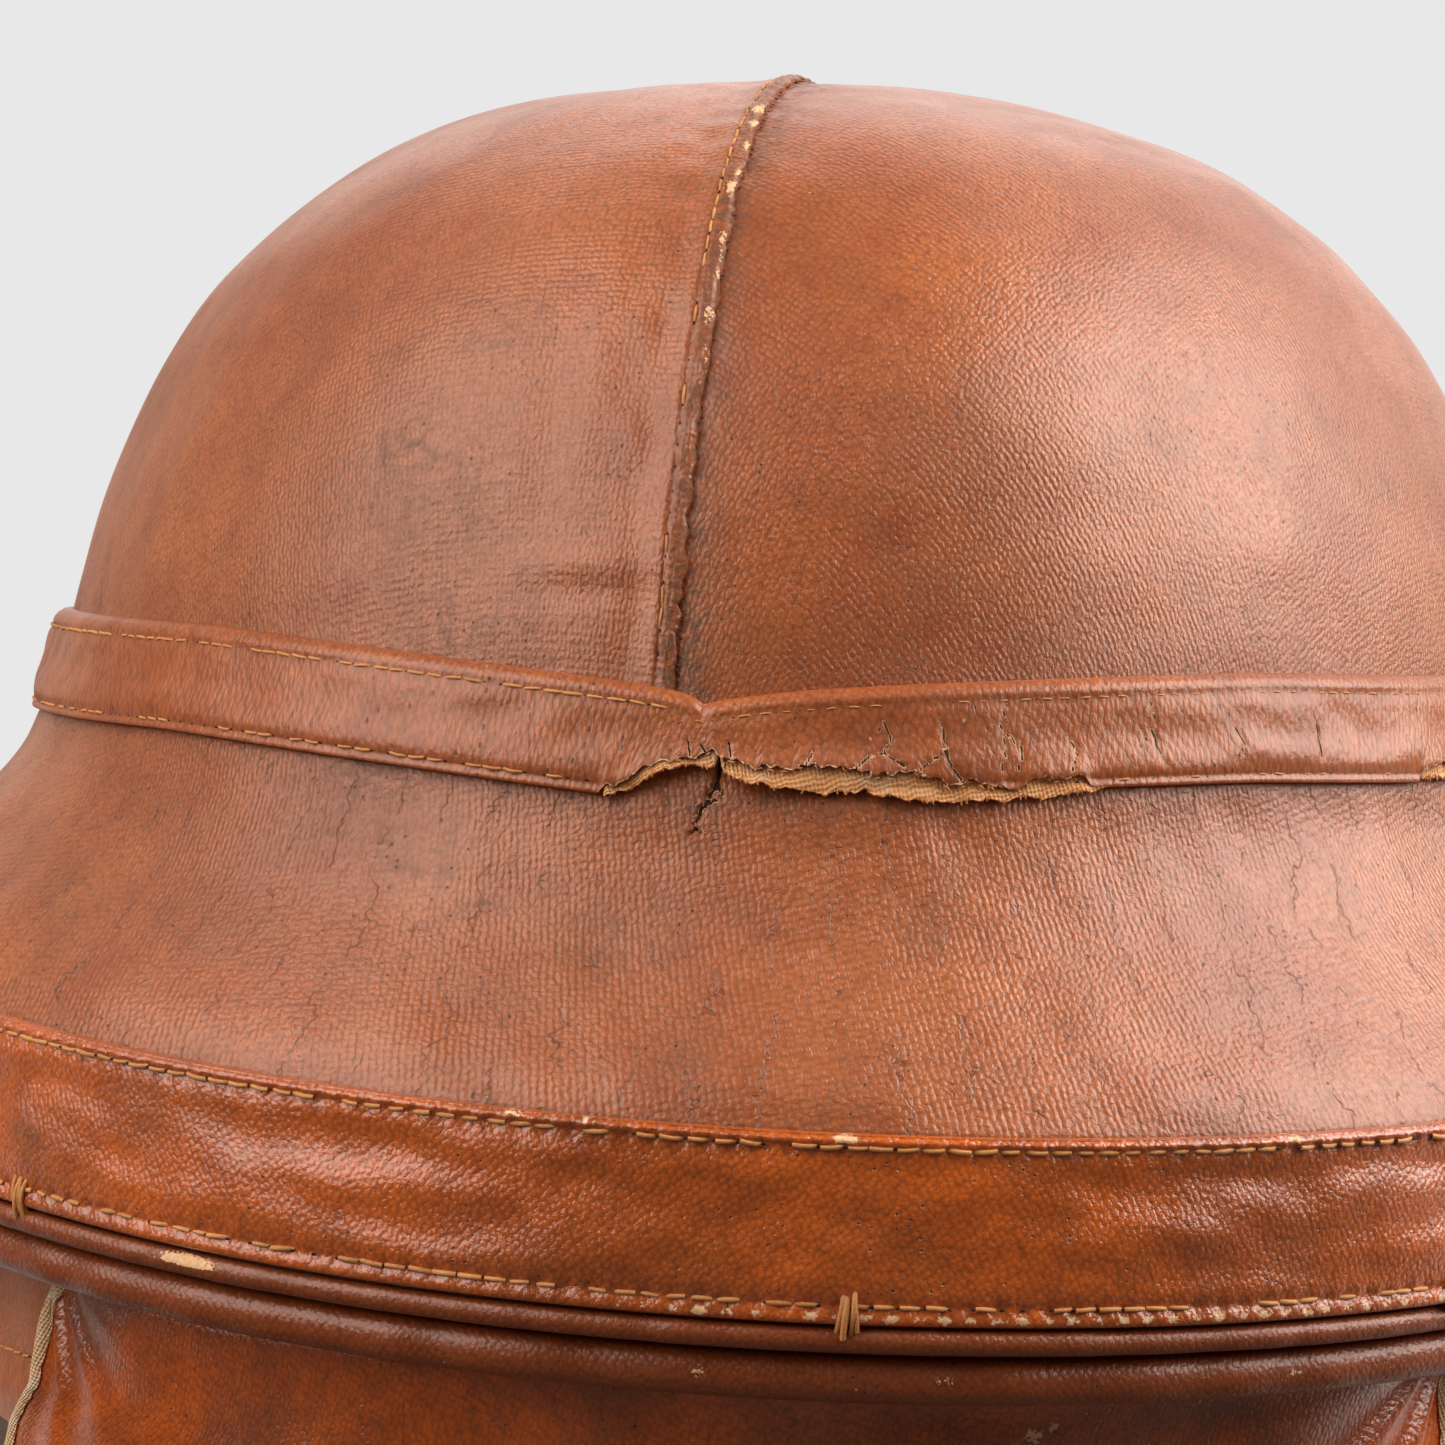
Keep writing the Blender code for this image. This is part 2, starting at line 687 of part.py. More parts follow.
def flap_grid(side, inward):
    """An ear flap's lobe: curved like the yoke at its fold, flat at its tip."""
    grid = []
    for width_share, down in zip(FLAP_WIDTH_SHARES, FLAP_DOWN_SHARES):
        line = []
        for column in range(FLAP_COLUMNS + 1):
            across = 2 * column / FLAP_COLUMNS - 1
            y = FLAP_CENTRE_Y + across * width_share * FLAP_WIDTH / 2
            around = math.sqrt(1 - (y / (CROWN_HALF_LENGTH + PANEL_OUT)) ** 2)
            x = mix(HINGE_X * around, HINGE_X, down) - inward
            line.append(Vector((side * x, y, HINGE_Z - FLAP_HEIGHT * down)))
        grid.append(line)
    return grid


def hanging_panels():
    """The neck curtain, the side yokes and the ear flaps, each with its own lining."""
    lining_in = CURTAIN_LINING_OUT - PANEL_LINING_THICKNESS
    back_of_curtain = PANEL_OUT - CURTAIN_THICKNESS
    sheet_solid("neck_curtain", curtain_grid(PANEL_OUT), curtain_grid(back_of_curtain), GLOSSY_CLOTH)
    sheet_solid(
        "neck_curtain_lining", curtain_grid(CURTAIN_LINING_OUT), curtain_grid(lining_in), SATEEN
    )
    flap_lining = FLAP_THICKNESS + LAYER_GAP
    for word, side in (("left", 1), ("right", -1)):
        yoke = [yoke_grid(side, out) for out in (PANEL_OUT, back_of_curtain)]
        sheet_solid("side_yoke_" + word, *yoke, GLOSSY_CLOTH)
        lining = [yoke_grid(side, out) for out in (CURTAIN_LINING_OUT, lining_in)]
        sheet_solid("side_yoke_lining_" + word, *lining, SATEEN)
        flap = [flap_grid(side, inward) for inward in (0, FLAP_THICKNESS)]
        sheet_solid("ear_flap_" + word, *flap, LEATHERCLOTH)
        backing = [
            flap_grid(side, inward) for inward in (flap_lining, flap_lining + PANEL_LINING_THICKNESS)
        ]
        sheet_solid("ear_flap_lining_" + word, *backing, SATEEN)


# Chin strap

def strap_sides():
    return FLAP_CENTRE_Y - STRAP_WIDTH / 2, FLAP_CENTRE_Y + STRAP_WIDTH / 2


def round_top(x):
    """Half a circle round the axis on which a strap swings, from its inner side over to its outer."""
    radius = STRAP_THICKNESS / 2
    turns = [math.pi * (1 - i / ROUND_POINTS) for i in range(ROUND_POINTS + 1)]
    return [(x + radius * math.cos(turn), STRAP_AXIS_Z + radius * math.sin(turn)) for turn in turns]


def strap_anchors():
    """The ends of the strap that are sewn flat on the tips of the flaps."""
    near, far = strap_sides()
    for word, side in (("left", 1), ("right", -1)):
        inner = side * (STRAP_X - STRAP_THICKNESS / 2)
        outer = side * (STRAP_X + STRAP_THICKNESS / 2)
        outline = (
            (near, FLAP_TIP_Z),
            (far, FLAP_TIP_Z),
            (far, FLAP_TIP_Z + ANCHOR_HEIGHT),
            (near, FLAP_TIP_Z + ANCHOR_HEIGHT),
        )
        extruded("strap_anchor_" + word, outline, inner, outer, HIDE, axis="X")


def chin_strap():
    """The long half of the strap, on the wearer's right, with its prong holes and cut point."""
    near, far = strap_sides()
    end_z = STRAP_AXIS_Z - CHIN_STRAP_LENGTH
    half = STRAP_THICKNESS / 2
    outline = round_top(-STRAP_X) + [(-STRAP_X + half, end_z), (-STRAP_X - half, end_z)]
    strap = extruded("chin_strap", outline, near, far, HIDE)
    cutters = []
    inner = -STRAP_X - half - OVERRUN
    outer = -STRAP_X + half + OVERRUN
    for hole in range(PRONG_HOLES):
        z = end_z + PRONG_HOLE_START + PRONG_HOLE_PITCH * hole
        turns = [2 * math.pi * i / ROUND_POINTS for i in range(ROUND_POINTS)]
        circle = [
            (FLAP_CENTRE_Y + PRONG_HOLE_RADIUS * math.cos(t), z + PRONG_HOLE_RADIUS * math.sin(t))
            for t in turns
        ]
        cutters.append(extruded("hole_guide", circle, inner, outer, HIDE, axis="X"))
    for edge in (near, far):
        way = math.copysign(OVERRUN, edge - FLAP_CENTRE_Y)
        corner = (
            (FLAP_CENTRE_Y, end_z),
            (edge, end_z + CHIN_STRAP_POINT),
            (edge + way, end_z + CHIN_STRAP_POINT),
            (edge + way, end_z - OVERRUN),
            (FLAP_CENTRE_Y, end_z - OVERRUN),
        )
        cutters.append(extruded("point_guide", corner, inner, outer, HIDE, axis="X"))
    boolean(strap, merge("chin_strap_guide", cutters), "DIFFERENCE")


def buckle_strap():
    """The short half, on the wearer's left, turned round the buckle's bar and back up behind itself."""
    near, far = strap_sides()
    half = STRAP_THICKNESS / 2
    outer_loop = BAR_LOOP + STRAP_THICKNESS
    sweep = [math.pi * i / ROUND_POINTS for i in range(ROUND_POINTS + 1)]

    def round_bar(radius, turns):
        return [(BAR_X + radius * math.cos(t), BAR_Z - radius * math.sin(t)) for t in turns]

    inner_face = STRAP_X - half
    back_in = inner_face - LAYER_GAP - STRAP_THICKNESS
    meet_z = BAR_Z + STRAP_RETURN / 2
    end_z = BAR_Z + STRAP_RETURN
    outline = round_top(STRAP_X)
    outline += round_bar(outer_loop, sweep)
    outline += [(back_in, meet_z), (back_in, end_z)]
    outline += [(inner_face - LAYER_GAP, end_z), (inner_face - LAYER_GAP, meet_z)]
    outline += round_bar(BAR_LOOP, sweep[::-1])
    strap = extruded("buckle_strap", outline, near, far, HIDE)
    slot = PRONG_WIRE / 2 + PRONG_SLOT_PLAY
    reach = outer_loop + OVERRUN
    hole = (
        (BAR_X - reach, BAR_Z - reach),
        (BAR_X + reach, BAR_Z - reach),
        (BAR_X + reach, BAR_Z + PRONG_SLOT_ABOVE),
        (BAR_X - reach, BAR_Z + PRONG_SLOT_ABOVE),
    )
    cutter = extruded("slot_guide", hole, FLAP_CENTRE_Y - slot, FLAP_CENTRE_Y + slot, HIDE)
    boolean(strap, cutter, "DIFFERENCE")


def strap_keeper():
    """The loop that holds the strap's free end beside the buckle."""
    near, far = strap_sides()
    half = STRAP_THICKNESS / 2
    low_x = STRAP_X - half - LAYER_GAP
    high_x = STRAP_X + half + STRAP_THICKNESS + KEEPER_PLAY
    low_y = near - KEEPER_PLAY
    high_y = far + KEEPER_PLAY
    wall = KEEPER_THICKNESS
    inner = ((low_x, low_y), (high_x, low_y), (high_x, high_y), (low_x, high_y))
    outer = (
        (low_x - wall, low_y - wall),
        (high_x + wall, low_y - wall),
        (high_x + wall, high_y + wall),
        (low_x - wall, high_y + wall),
    )
    top_z = STRAP_AXIS_Z - KEEPER_DROP
    bottom_z = top_z - KEEPER_HEIGHT
    loops = []
    for (xi, yi), (xo, yo) in zip(inner, outer):
        loops.append(((xi, yi, bottom_z), (xo, yo, bottom_z), (xo, yo, top_z), (xi, yi, top_z)))
    loop_solid("strap_keeper", loops, HIDE)


# Buckle

def wire(name, points, radius, cyclic):
    """Round wire along a path, as a curve with filled ends."""
    data = bpy.data.curves.new(name, "CURVE")
    data.dimensions = "3D"
    data.bevel_depth = radius
    data.bevel_resolution = 2
    data.use_fill_caps = True
    spline = data.splines.new("POLY")
    spline.points.add(len(points) - 1)
    for point, place_at in zip(spline.points, points):
        point.co = (*place_at, 1.0)
    spline.use_cyclic_u = cyclic
    data.materials.append(material(name + "_finish", *BRASS))
    made = bpy.data.objects.new(name, data)
    bpy.context.scene.collection.objects.link(made)
    return made


def buckle():
    """A bent wire frame with a prong hooked round its bar."""
    half = STRAP_WIDTH / 2 + BUCKLE_SIDE_PLAY + BUCKLE_WIRE / 2
    corners = (
        (half - BUCKLE_CORNER, -BUCKLE_CORNER, 0.0),
        (half - BUCKLE_CORNER, BUCKLE_CORNER - BUCKLE_LENGTH, -90.0),
        (BUCKLE_CORNER - half, BUCKLE_CORNER - BUCKLE_LENGTH, 180.0),
        (BUCKLE_CORNER - half, -BUCKLE_CORNER, 90.0),
    )
    points = []
    for y, z, end in corners:
        for turn in (90.0, 60.0, 30.0, 0.0):
            t = math.radians(end + turn)
            across = FLAP_CENTRE_Y + y + BUCKLE_CORNER * math.cos(t)
            points.append((BAR_X, across, BAR_Z + z + BUCKLE_CORNER * math.sin(t)))
    wire("buckle_frame", points, BUCKLE_WIRE / 2, True)
    hook = []
    for i in range(ROUND_POINTS + 1):
        t = mix(PRONG_HOOK, 0, i / ROUND_POINTS)
        hook.append((BAR_X + PRONG_OUT * math.cos(t), FLAP_CENTRE_Y, BAR_Z + PRONG_OUT * math.sin(t)))
    tip_z = BAR_Z - BUCKLE_LENGTH - BUCKLE_WIRE / 2 - PRONG_TIP
    hook.append((BAR_X + PRONG_OUT, FLAP_CENTRE_Y, tip_z))
    wire("buckle_prong", hook, PRONG_WIRE / 2, False)


def clear_scene():
    for old in list(bpy.data.objects):
        bpy.data.objects.remove(old)


def main():
    clear_scene()
    dome_layer("cork_shell", CORK_OUTSIDE, CORK_INSIDE, CORK_BOTTOM_Z, CORK)
    crown_cover()
    hat_band()
    brim_ring("brim_core", brim_core_profile, CORK)
    brim_ring("brim_cover", brim_cover_profile, LEATHERCLOTH)
    brim_ring("hem_band", hem_profile, GLOSSY_CLOTH)
    brim_ring("hem_binding", binding_profile, GLOSSY_CLOTH)
    brim_ring("under_brim_facing", facing_profile, GLOSSY_CLOTH)
    head_fitting()
    hanging_panels()
    strap_anchors()
    chin_strap()
    buckle_strap()
    strap_keeper()
    buckle()


main()
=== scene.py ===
"""Looks of a padded flying helmet of about 1912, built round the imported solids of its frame.

Metres, +Z up. The helmet faces -Y, so its back is +Y and the wearer's left is +X. Directions round
the helmet are angles from the wearer's left towards the back, which is at a quarter turn.
"""

import math
from functools import partial

import bmesh
import bpy
import numpy as np
from bpy.props import FloatProperty, FloatVectorProperty, PointerProperty
from mathutils import Matrix, Vector


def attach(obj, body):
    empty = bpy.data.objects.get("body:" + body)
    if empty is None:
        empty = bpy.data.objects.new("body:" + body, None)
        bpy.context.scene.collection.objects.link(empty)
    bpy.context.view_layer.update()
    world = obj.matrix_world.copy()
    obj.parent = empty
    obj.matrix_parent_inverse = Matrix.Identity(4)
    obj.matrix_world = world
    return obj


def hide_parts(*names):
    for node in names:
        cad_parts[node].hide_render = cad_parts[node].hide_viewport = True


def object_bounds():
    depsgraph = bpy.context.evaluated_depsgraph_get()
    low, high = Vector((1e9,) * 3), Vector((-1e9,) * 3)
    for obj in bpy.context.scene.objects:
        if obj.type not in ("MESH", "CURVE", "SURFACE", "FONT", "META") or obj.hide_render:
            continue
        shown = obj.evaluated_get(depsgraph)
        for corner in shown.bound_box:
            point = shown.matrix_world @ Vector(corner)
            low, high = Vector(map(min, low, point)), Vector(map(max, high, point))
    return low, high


bl_info = {
    "name": "Padded flying helmet",
    "version": (1, 0, 0),
    "blender": (4, 5, 0),
    "location": "3D View > Sidebar > Helmet",
    "description": "Leathercloth, stitching, linings and wear for a cork flying helmet",
    "category": "Object",
}

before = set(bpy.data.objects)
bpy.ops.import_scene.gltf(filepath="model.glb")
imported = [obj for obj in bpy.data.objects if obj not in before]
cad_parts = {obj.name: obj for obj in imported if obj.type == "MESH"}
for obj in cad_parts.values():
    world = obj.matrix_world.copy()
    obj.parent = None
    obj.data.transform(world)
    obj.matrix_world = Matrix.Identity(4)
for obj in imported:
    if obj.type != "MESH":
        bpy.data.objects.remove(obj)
CAD_BOX = [list(corner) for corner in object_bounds()]

MM = 0.001
DEG = math.radians(1)
BACK = math.pi / 2
TINY = 1e-9

# Sizes shared with the solids
GAP = 0.3 * MM
HANG_GAP = 0.5 * MM
ROUNDNESS = 2.8
WIDEST_DROP = 60 * MM
TOP_BACK = 2 * MM
BAND_TOP_Z = 48 * MM
BAND_DIP = 4.7 * MM
BAND_DIP_SPREAD = 42 * DEG
BAND_DIP_POWER = 1.3
COVER_JOIN_Z = 40 * MM
CORK_BOTTOM_Z = 2 * MM
CORK_INSIDE = 9.5 * MM
LINING_OUTSIDE = 9.8 * MM
LINING_INSIDE = 10.6 * MM
BRIM_START_OUT = 1.9 * MM
BRIM_FALL = 42.3 * MM
BRIM_TILT_SHARE = 0.079
BRIM_LEAN_SHARE = 0.030
BRIM_OUT_SHARES = (0.0, 0.10, 0.32, 0.62, 0.88, 1.0)
BRIM_FALL_SHARES = (0.0, 0.20, 0.45, 0.68, 0.87, 1.0)
HEM_STAND = 1.9 * MM
HEM_DRAWN = 22.5 * MM
BINDING_HEIGHT = 3.1 * MM
BINDING_WIDTH = 3.0 * MM
ROLL_HEIGHT = 5.9 * MM
ROLL_WIDTH = 5.0 * MM
ROLL_INSET = 4.6 * MM
FACING_THICKNESS = 1.2 * MM
PANEL_OUT = 13 * MM
YOKE_BOTTOM_Z = -50 * MM
CURTAIN_BOTTOM_Z = -105 * MM
FLAP_Y = -8 * MM
FLAP_HALF = 37 * MM
FLAP_LENGTH = 62 * MM
STRAP_X = 114.8 * MM
STRAP_AXIS_Z = -113.6 * MM
FLAP_TIP_Z = -112.3 * MM
BAR_X = 112.0 * MM
BAR_Z = -158.6 * MM


def size(name, words, default):
    """A length that a user may change, in metres."""
    return FloatProperty(name=name, description=words, default=default, min=0, unit="LENGTH")


def linear(hex_colour):
    """Turns an sRGB hex colour into linear red, green, blue and alpha."""
    shares = [int(hex_colour[i:i + 2], 16) / 255 for i in (0, 2, 4)]
    return tuple(c / 12.92 if c <= 0.04045 else ((c + 0.055) / 1.055) ** 2.4 for c in shares) + (1,)


def tint(name, words, hex_colour):
    """A colour that a user may change."""
    return FloatVectorProperty(
        name=name, description=words, default=linear(hex_colour), size=4, min=0, max=1, subtype="COLOR"
    )


class HelmetSizes(bpy.types.PropertyGroup):
    """Sizes of the helmet that a user would change."""

    half_width: size("Crown half width", "Middle to side at the hat band's top edge", 100.5 * MM)
    half_length: size("Crown half length", "Middle to back at the hat band's top edge", 120 * MM)
    crown_height: size("Crown height", "Hat band's top edge to the top of the crown", 75.8 * MM)
    cover: size("Cover thickness", "Thickness of the leathercloth over the cork", 1.2 * MM)
    band_height: size("Hat band height", "Height of the hat band", 13.6 * MM)
    brim_reach: size("Brim reach", "How far the brim stands outside the crown", 29.6 * MM)
    hem_height: size("Hem height", "Height of the stitched hem", HEM_DRAWN)
    thread: size("Thread diameter", "Diameter of the waxed sewing thread", 0.55 * MM)
    seam_pitch: size("Crown stitch pitch", "One stitch of the crown seam", 3.0 * MM)
    band_pitch: size("Band stitch pitch", "One stitch of the hat band", 2.7 * MM)
    hem_pitch: size("Hem stitch pitch", "One stitch of the hem", 3.15 * MM)
    weave: size("Weave pitch", "One rib of the coated twill", 0.80 * MM)


class HelmetFinishes(bpy.types.PropertyGroup):
    """Colours and gloss of the helmet that a user would change."""

    cloth: tint("Leathercloth", "Satin coating on the crown, band and brim", "bb6637")
    cloth_deep: tint("Leathercloth in hollows", "The coating where it is thicker or stained", "a75429")
    gloss: tint("Glossy leathercloth", "Coating on the hem", "dc671f")
    gloss_deep: tint("Glossy leathercloth, deep", "The glossy coating where it is thicker", "b0531d")
    # Also the colour of painted shade under the band and brim edges, on the rolls, beside the lap and at the
    # top of the hanging panels.
    grime: tint("Grime", "Dirt in the weave and along the seams", "5e3519")
    canvas: tint("Bare canvas", "Cotton canvas where the coating has gone", "fbb274")
    cream: tint("Worn edge", "Pale canvas at rubbed edges", "f8cda0")
    thread: tint("Thread", "Waxed sewing thread", "eba25c")
    lining: tint("Lining", "Aged cotton sateen", "f3dcbd")
    felt: tint("Felt", "Wool felt of the pads", "8d8375")
    roll: tint("Rolled edges", "The dark coating of the rolls under the hem", "944319")
    curtain: tint("Neck curtain", "The coating on the neck curtain", "e8660f")
    hide: tint("Hide", "Vegetable-tanned strap leather", "7b4a2b")
    brass: tint("Brass", "Lacquered brass, dulled", "b08d4f")
    cork: tint("Cork", "Pressed cork granules", "a67f57")
    backdrop: tint("Backdrop", "Pale floor and backdrop", "e8e8e8")
    shine: FloatProperty(
        name="Coating roughness", description="Roughness of the satin coating", default=0.29, min=0, max=1
    )


def sizes():
    return bpy.context.scene.helmet_sizes


def finishes():
    return bpy.context.scene.helmet_finishes


# Numbers, curves and unevenness

def unit(vectors):
    return vectors / np.maximum(np.linalg.norm(vectors, axis=-1, keepdims=True), TINY)


def smooth_step(value, low, high):
    share = np.clip((value - low) / (high - low), 0, 1)
    return share * share * (3 - 2 * share)


def bump_at(distance, reach):
    return np.exp(-(distance / reach) ** 2)


def curve(table, at):
    """Follows a table of (where, value) pairs smoothly."""
    where, value = np.array(table, float).T
    slope = np.gradient(value, where)
    i = np.clip(np.searchsorted(where, at) - 1, 0, len(where) - 2)
    width = where[i + 1] - where[i]
    t = np.clip((at - where[i]) / width, 0, 1)
    low, high = value[i], value[i + 1]
    rise_low, rise_high = slope[i] * width, slope[i + 1] * width
    cubic = 2 * (low - high) + rise_low + rise_high
    square = 3 * (high - low) - 2 * rise_low - rise_high
    return low + t * (rise_low + t * (square + t * cubic))


def table_line(table, at):
    """Follows a table of (where, value) pairs in straight stretches."""
    where, value = np.array(table, float).T
    return np.interp(at, where, value)


def ripple(points, reach, seed, waves=14):
    """Seeded smooth unevenness, mostly from -1 to 1, with bumps about this far apart."""
    rng = np.random.default_rng(seed)
    ways = unit(rng.normal(size=(waves, 3)))
    pitches = 2 * math.pi / reach * rng.uniform(0.7, 1.4, waves)
    phases = rng.uniform(0, 2 * math.pi, waves)
    total = np.zeros(points.shape[:-1])
    for way, pitch, phase in zip(ways, pitches, phases):
        total += np.sin(points @ way * pitch + phase)
    return np.clip(total / math.sqrt(waves), -1.6, 1.6)


def gone_along(line):
    """The distance gone at each point of a line."""
    steps = np.linalg.norm(np.diff(line, axis=0), axis=-1)
    return np.concatenate([[0.0], np.cumsum(steps)])


def once_round(count):
    """Even directions once round from the front."""
    return np.linspace(-BACK, 3 * BACK, count)


def spread_marks(points, table):
    """Marks on the helmet's back from rows of x, z, width, height and amount, placed in millimetres."""
    x, y, z = np.moveaxis(points, -1, 0)
    total = np.zeros(x.shape)
    for at_x, at_z, wide, high, amount in table:
        total += amount * bump_at(x - at_x * MM, wide * MM) * bump_at(z - at_z * MM, high * MM)
    return total * (y > 0)


def smudges(points, table):
    """Round smudges on the helmet's back from rows of x, z, reach and amount, placed in millimetres."""
    x, y, z = np.moveaxis(points, -1, 0)
    total = np.zeros(x.shape)
    for at_x, at_z, reach, amount in table:
        total += amount * bump_at(np.hypot(x - at_x * MM, z - at_z * MM), reach * MM)
    return total * (y > 0)


# The crown's shape

CROWN_DENTS = (
    (12, 58, 7, 1.6, 0.45), (12, 54.5, 8, 1.5, -0.35), (14, 84, 2.6, 16, 0.28), (19, 76, 2.4, 14, -0.28),
    (-70, 78, 3.0, 24, 0.40), (-52, 82, 5.0, 22, -0.30), (-30, 92, 9.0, 6, 0.30),
)


def dome_axes():
    """The dome's half width and half length at its widest, its rise from there, and that level."""
    s = sizes()
    rise = s.crown_height + WIDEST_DROP
    level = (1 - (WIDEST_DROP / rise) ** ROUNDNESS) ** (1 / ROUNDNESS)
    return s.half_width / level, s.half_length / level, rise, BAND_TOP_Z - WIDEST_DROP


def dome_share(z, inward=0.0):
    """How wide the dome is at a height, as a share of its widest."""
    _, _, rise, centre_z = dome_axes()
    climb = np.clip((z - centre_z) / (rise - inward), 0, 1)
    return (1 - climb ** ROUNDNESS) ** (1 / ROUNDNESS)


def dome_z(share, inward=0.0):
    _, _, rise, centre_z = dome_axes()
    return centre_z + (rise - inward) * (1 - np.clip(share, 0, 1) ** ROUNDNESS) ** (1 / ROUNDNESS)


def dome_out(angle, z, inward=0.0):
    """How far a layer of the dome stands outside the ring at the hat band's top edge."""
    s = sizes()
    half_width, half_length, _, _ = dome_axes()
    share = dome_share(z, inward)
    side = (half_width - inward) * share - s.half_width
    back = (half_length - inward) * share - s.half_length
    return side * np.cos(angle) ** 2 + back * np.sin(angle) ** 2


def lean(z):
    return TOP_BACK * np.maximum(z - BAND_TOP_Z, 0) / sizes().crown_height


def dome_normal(points):
    half_width, half_length, rise, centre_z = dome_axes()
    x, y, z = np.moveaxis(points, -1, 0)
    flat = np.hypot(x / half_width, y / half_length) ** (ROUNDNESS - 2)
    climb = np.maximum((z - centre_z) / rise, 0) ** (ROUNDNESS - 1) / rise
    return unit(np.stack([flat * x / half_width ** 2, flat * y / half_length ** 2, climb], -1))


def dome_cloth(points):
    """The crown's cloth map: distances over its surface, measured from its top."""
    half_width, half_length, _, _ = dome_axes()
    shares = np.linspace(0, 1, 300)
    profile = np.stack([shares * (half_width + half_length) / 2, dome_z(shares)], -1)
    share = np.hypot(points[..., 0] / half_width, points[..., 1] / half_length)
    arc = np.interp(share, shares, gone_along(profile))
    flat = np.maximum(np.hypot(points[..., 0], points[..., 1]), TINY)
    return points[..., :2] * (arc / flat)[..., None]


def crown_relief(points):
    """Unevenness of the cloth over the cork, with the puckers beside the seam and the hat band."""
    x, y, _ = np.moveaxis(points, -1, 0)
    broad = 0.38 * MM * ripple(points, 52 * MM, 3) + 0.10 * MM * ripple(points, 17 * MM, 4)
    near_seam = bump_at(x - 4 * MM, 9 * MM) * (y > 0)
    puckers = 0.16 * MM * ripple(points * (1.4, 1, 0.8), 8 * MM, 5) * near_seam
    return broad + puckers + MM * spread_marks(points, CROWN_DENTS)


# Rings round the crown

JOIN_ANGLE = 92.1 * DEG


def ring(angle, out, z):
    """Points this far outside the crown's ring."""
    s = sizes()
    x, y, z = np.broadcast_arrays(
        (s.half_width + out) * np.cos(angle), (s.half_length + out) * np.sin(angle), z
    )
    return np.stack([x, y, z], -1)


def directions(count):
    """Directions once round from the front, closest together about the join at the back."""
    fine = once_round(6001)
    away = np.abs(fine - JOIN_ANGLE)
    weight = 1 + 0.4 * (1 + np.cos(away)) + 2.2 * bump_at(away, 7.5 * DEG)
    gone = np.concatenate([[0], np.cumsum((weight[1:] + weight[:-1]) / 2)])
    return np.interp(np.arange(count) * gone[-1] / count, gone, fine)


NOTCH_DEPTH = 1.5 * MM
NOTCH_LEFT = 1.3 * DEG
NOTCH_RIGHT = 5.0 * DEG
BAND_EDGE = (
    (0, 0.25), (0.05, 0.9), (0.3, 1.65), (0.7, 2.15), (1.2, 2.45), (1.8, 2.5), (2.3, 2.38), (2.8, 2.52),
    (4.5, 2.6), (7.5, 2.8), (9.8, 3.25), (11.2, 3.3), (12.0, 3.12), (12.4, 2.98), (12.8, 3.1),
    (13.1, 3.2), (13.45, 3.0), (13.6, 2.45),
)
BAND_ROWS = (
    0, 0.05, 0.15, 0.3, 0.5, 0.7, 0.9, 1.1, 1.25, 1.4, 1.55, 1.75, 2.1, 2.6, 3.3, 4.1, 5.0, 5.9, 6.8, 7.7,
    8.6, 9.4, 10.1, 10.8, 11.3, 11.7, 12.0, 12.2, 12.4, 12.6, 12.8, 13.0, 13.2, 13.4, 13.55, 13.6,
)
BAND_STITCH_TOP = 2.3 * MM
BAND_STITCH_LOW = 12.4 * MM
TEAR_RISE = (
    (85.6, 0), (86.1, 1.4), (87.1, 1.9), (88.2, 4.0), (90.5, 4.8), (92.9, 6.2), (93.8, 5.1), (95.6, 4.2),
    (98.1, 3.7), (100.6, 3.7), (102.8, 3.1), (105.4, 2.5), (106.3, 2.4), (108.4, 1.2), (109.0, 1.1),
    (110.4, 1.6), (110.8, 0.6), (111.9, 1.2), (112.9, 0.2), (113.7, 1.1), (115.1, 1.7), (117.7, 1.5),
    (118.6, 0.1), (119.4, 0), (147.0, 0), (147.6, 1.6), (149.0, 2.4), (151.0, 2.6), (154.0, 1.2), (155, 0),
)
CANVAS_RISE = (
    (86.0, 0), (86.8, 0.4), (88.0, 1.4), (88.8, 2.8), (90.0, 4.1), (91.5, 4.7), (93.1, 4.3), (93.3, 6.6),
    (93.6, 6.6), (93.8, 3.7), (94.1, 3.4), (95.6, 2.2), (97.3, 1.4), (98.8, 1.1), (100.4, 0.4),
    (101.3, 0.9), (102.8, 0.6), (105.5, -0.3), (107.5, -0.7), (110.5, -0.9), (113, -0.8), (116, -0.6),
    (118.8, 0.1), (119.4, 0.3),
)
SECOND_CANVAS_RISE = ((147.2, 0.5), (149, 0.9), (152, 0.7), (154.6, 0.4))


def band_dip(angle):
    """How far the hat band dips to its join, deepest in the notch where its two ends meet."""
    away = angle - JOIN_ANGLE
    broad = BAND_DIP * np.maximum(1 - np.abs(away) / BAND_DIP_SPREAD, 0) ** BAND_DIP_POWER
    spread = np.where(away < 0, NOTCH_LEFT, NOTCH_RIGHT)
    return broad + NOTCH_DEPTH * np.exp(-np.abs(away) / spread)


def broad_dip(angle):
    """The dip of the edge of the solid band, which the brim below it starts from."""
    return BAND_DIP * np.maximum(1 - np.abs(angle - BACK) / BAND_DIP_SPREAD, 0) ** BAND_DIP_POWER


def band_tear(angle):
    """How far the coating's lower edge has torn away, with a ragged edge."""
    rise = table_line(TEAR_RISE, angle / DEG) * MM
    line = ring(angle, 0, 0)
    ragged = ripple(line, 1.6 * MM, 21) * 0.28 * MM + ripple(line, 5 * MM, 22) * 0.2 * MM
    return np.maximum(rise + ragged * smooth_step(rise, 0, 0.6 * MM), 0)


def band_full(angle):
    """The whole height of the band at a direction, before any of it tore away."""
    return sizes().band_height - (band_dip(angle) - broad_dip(angle))


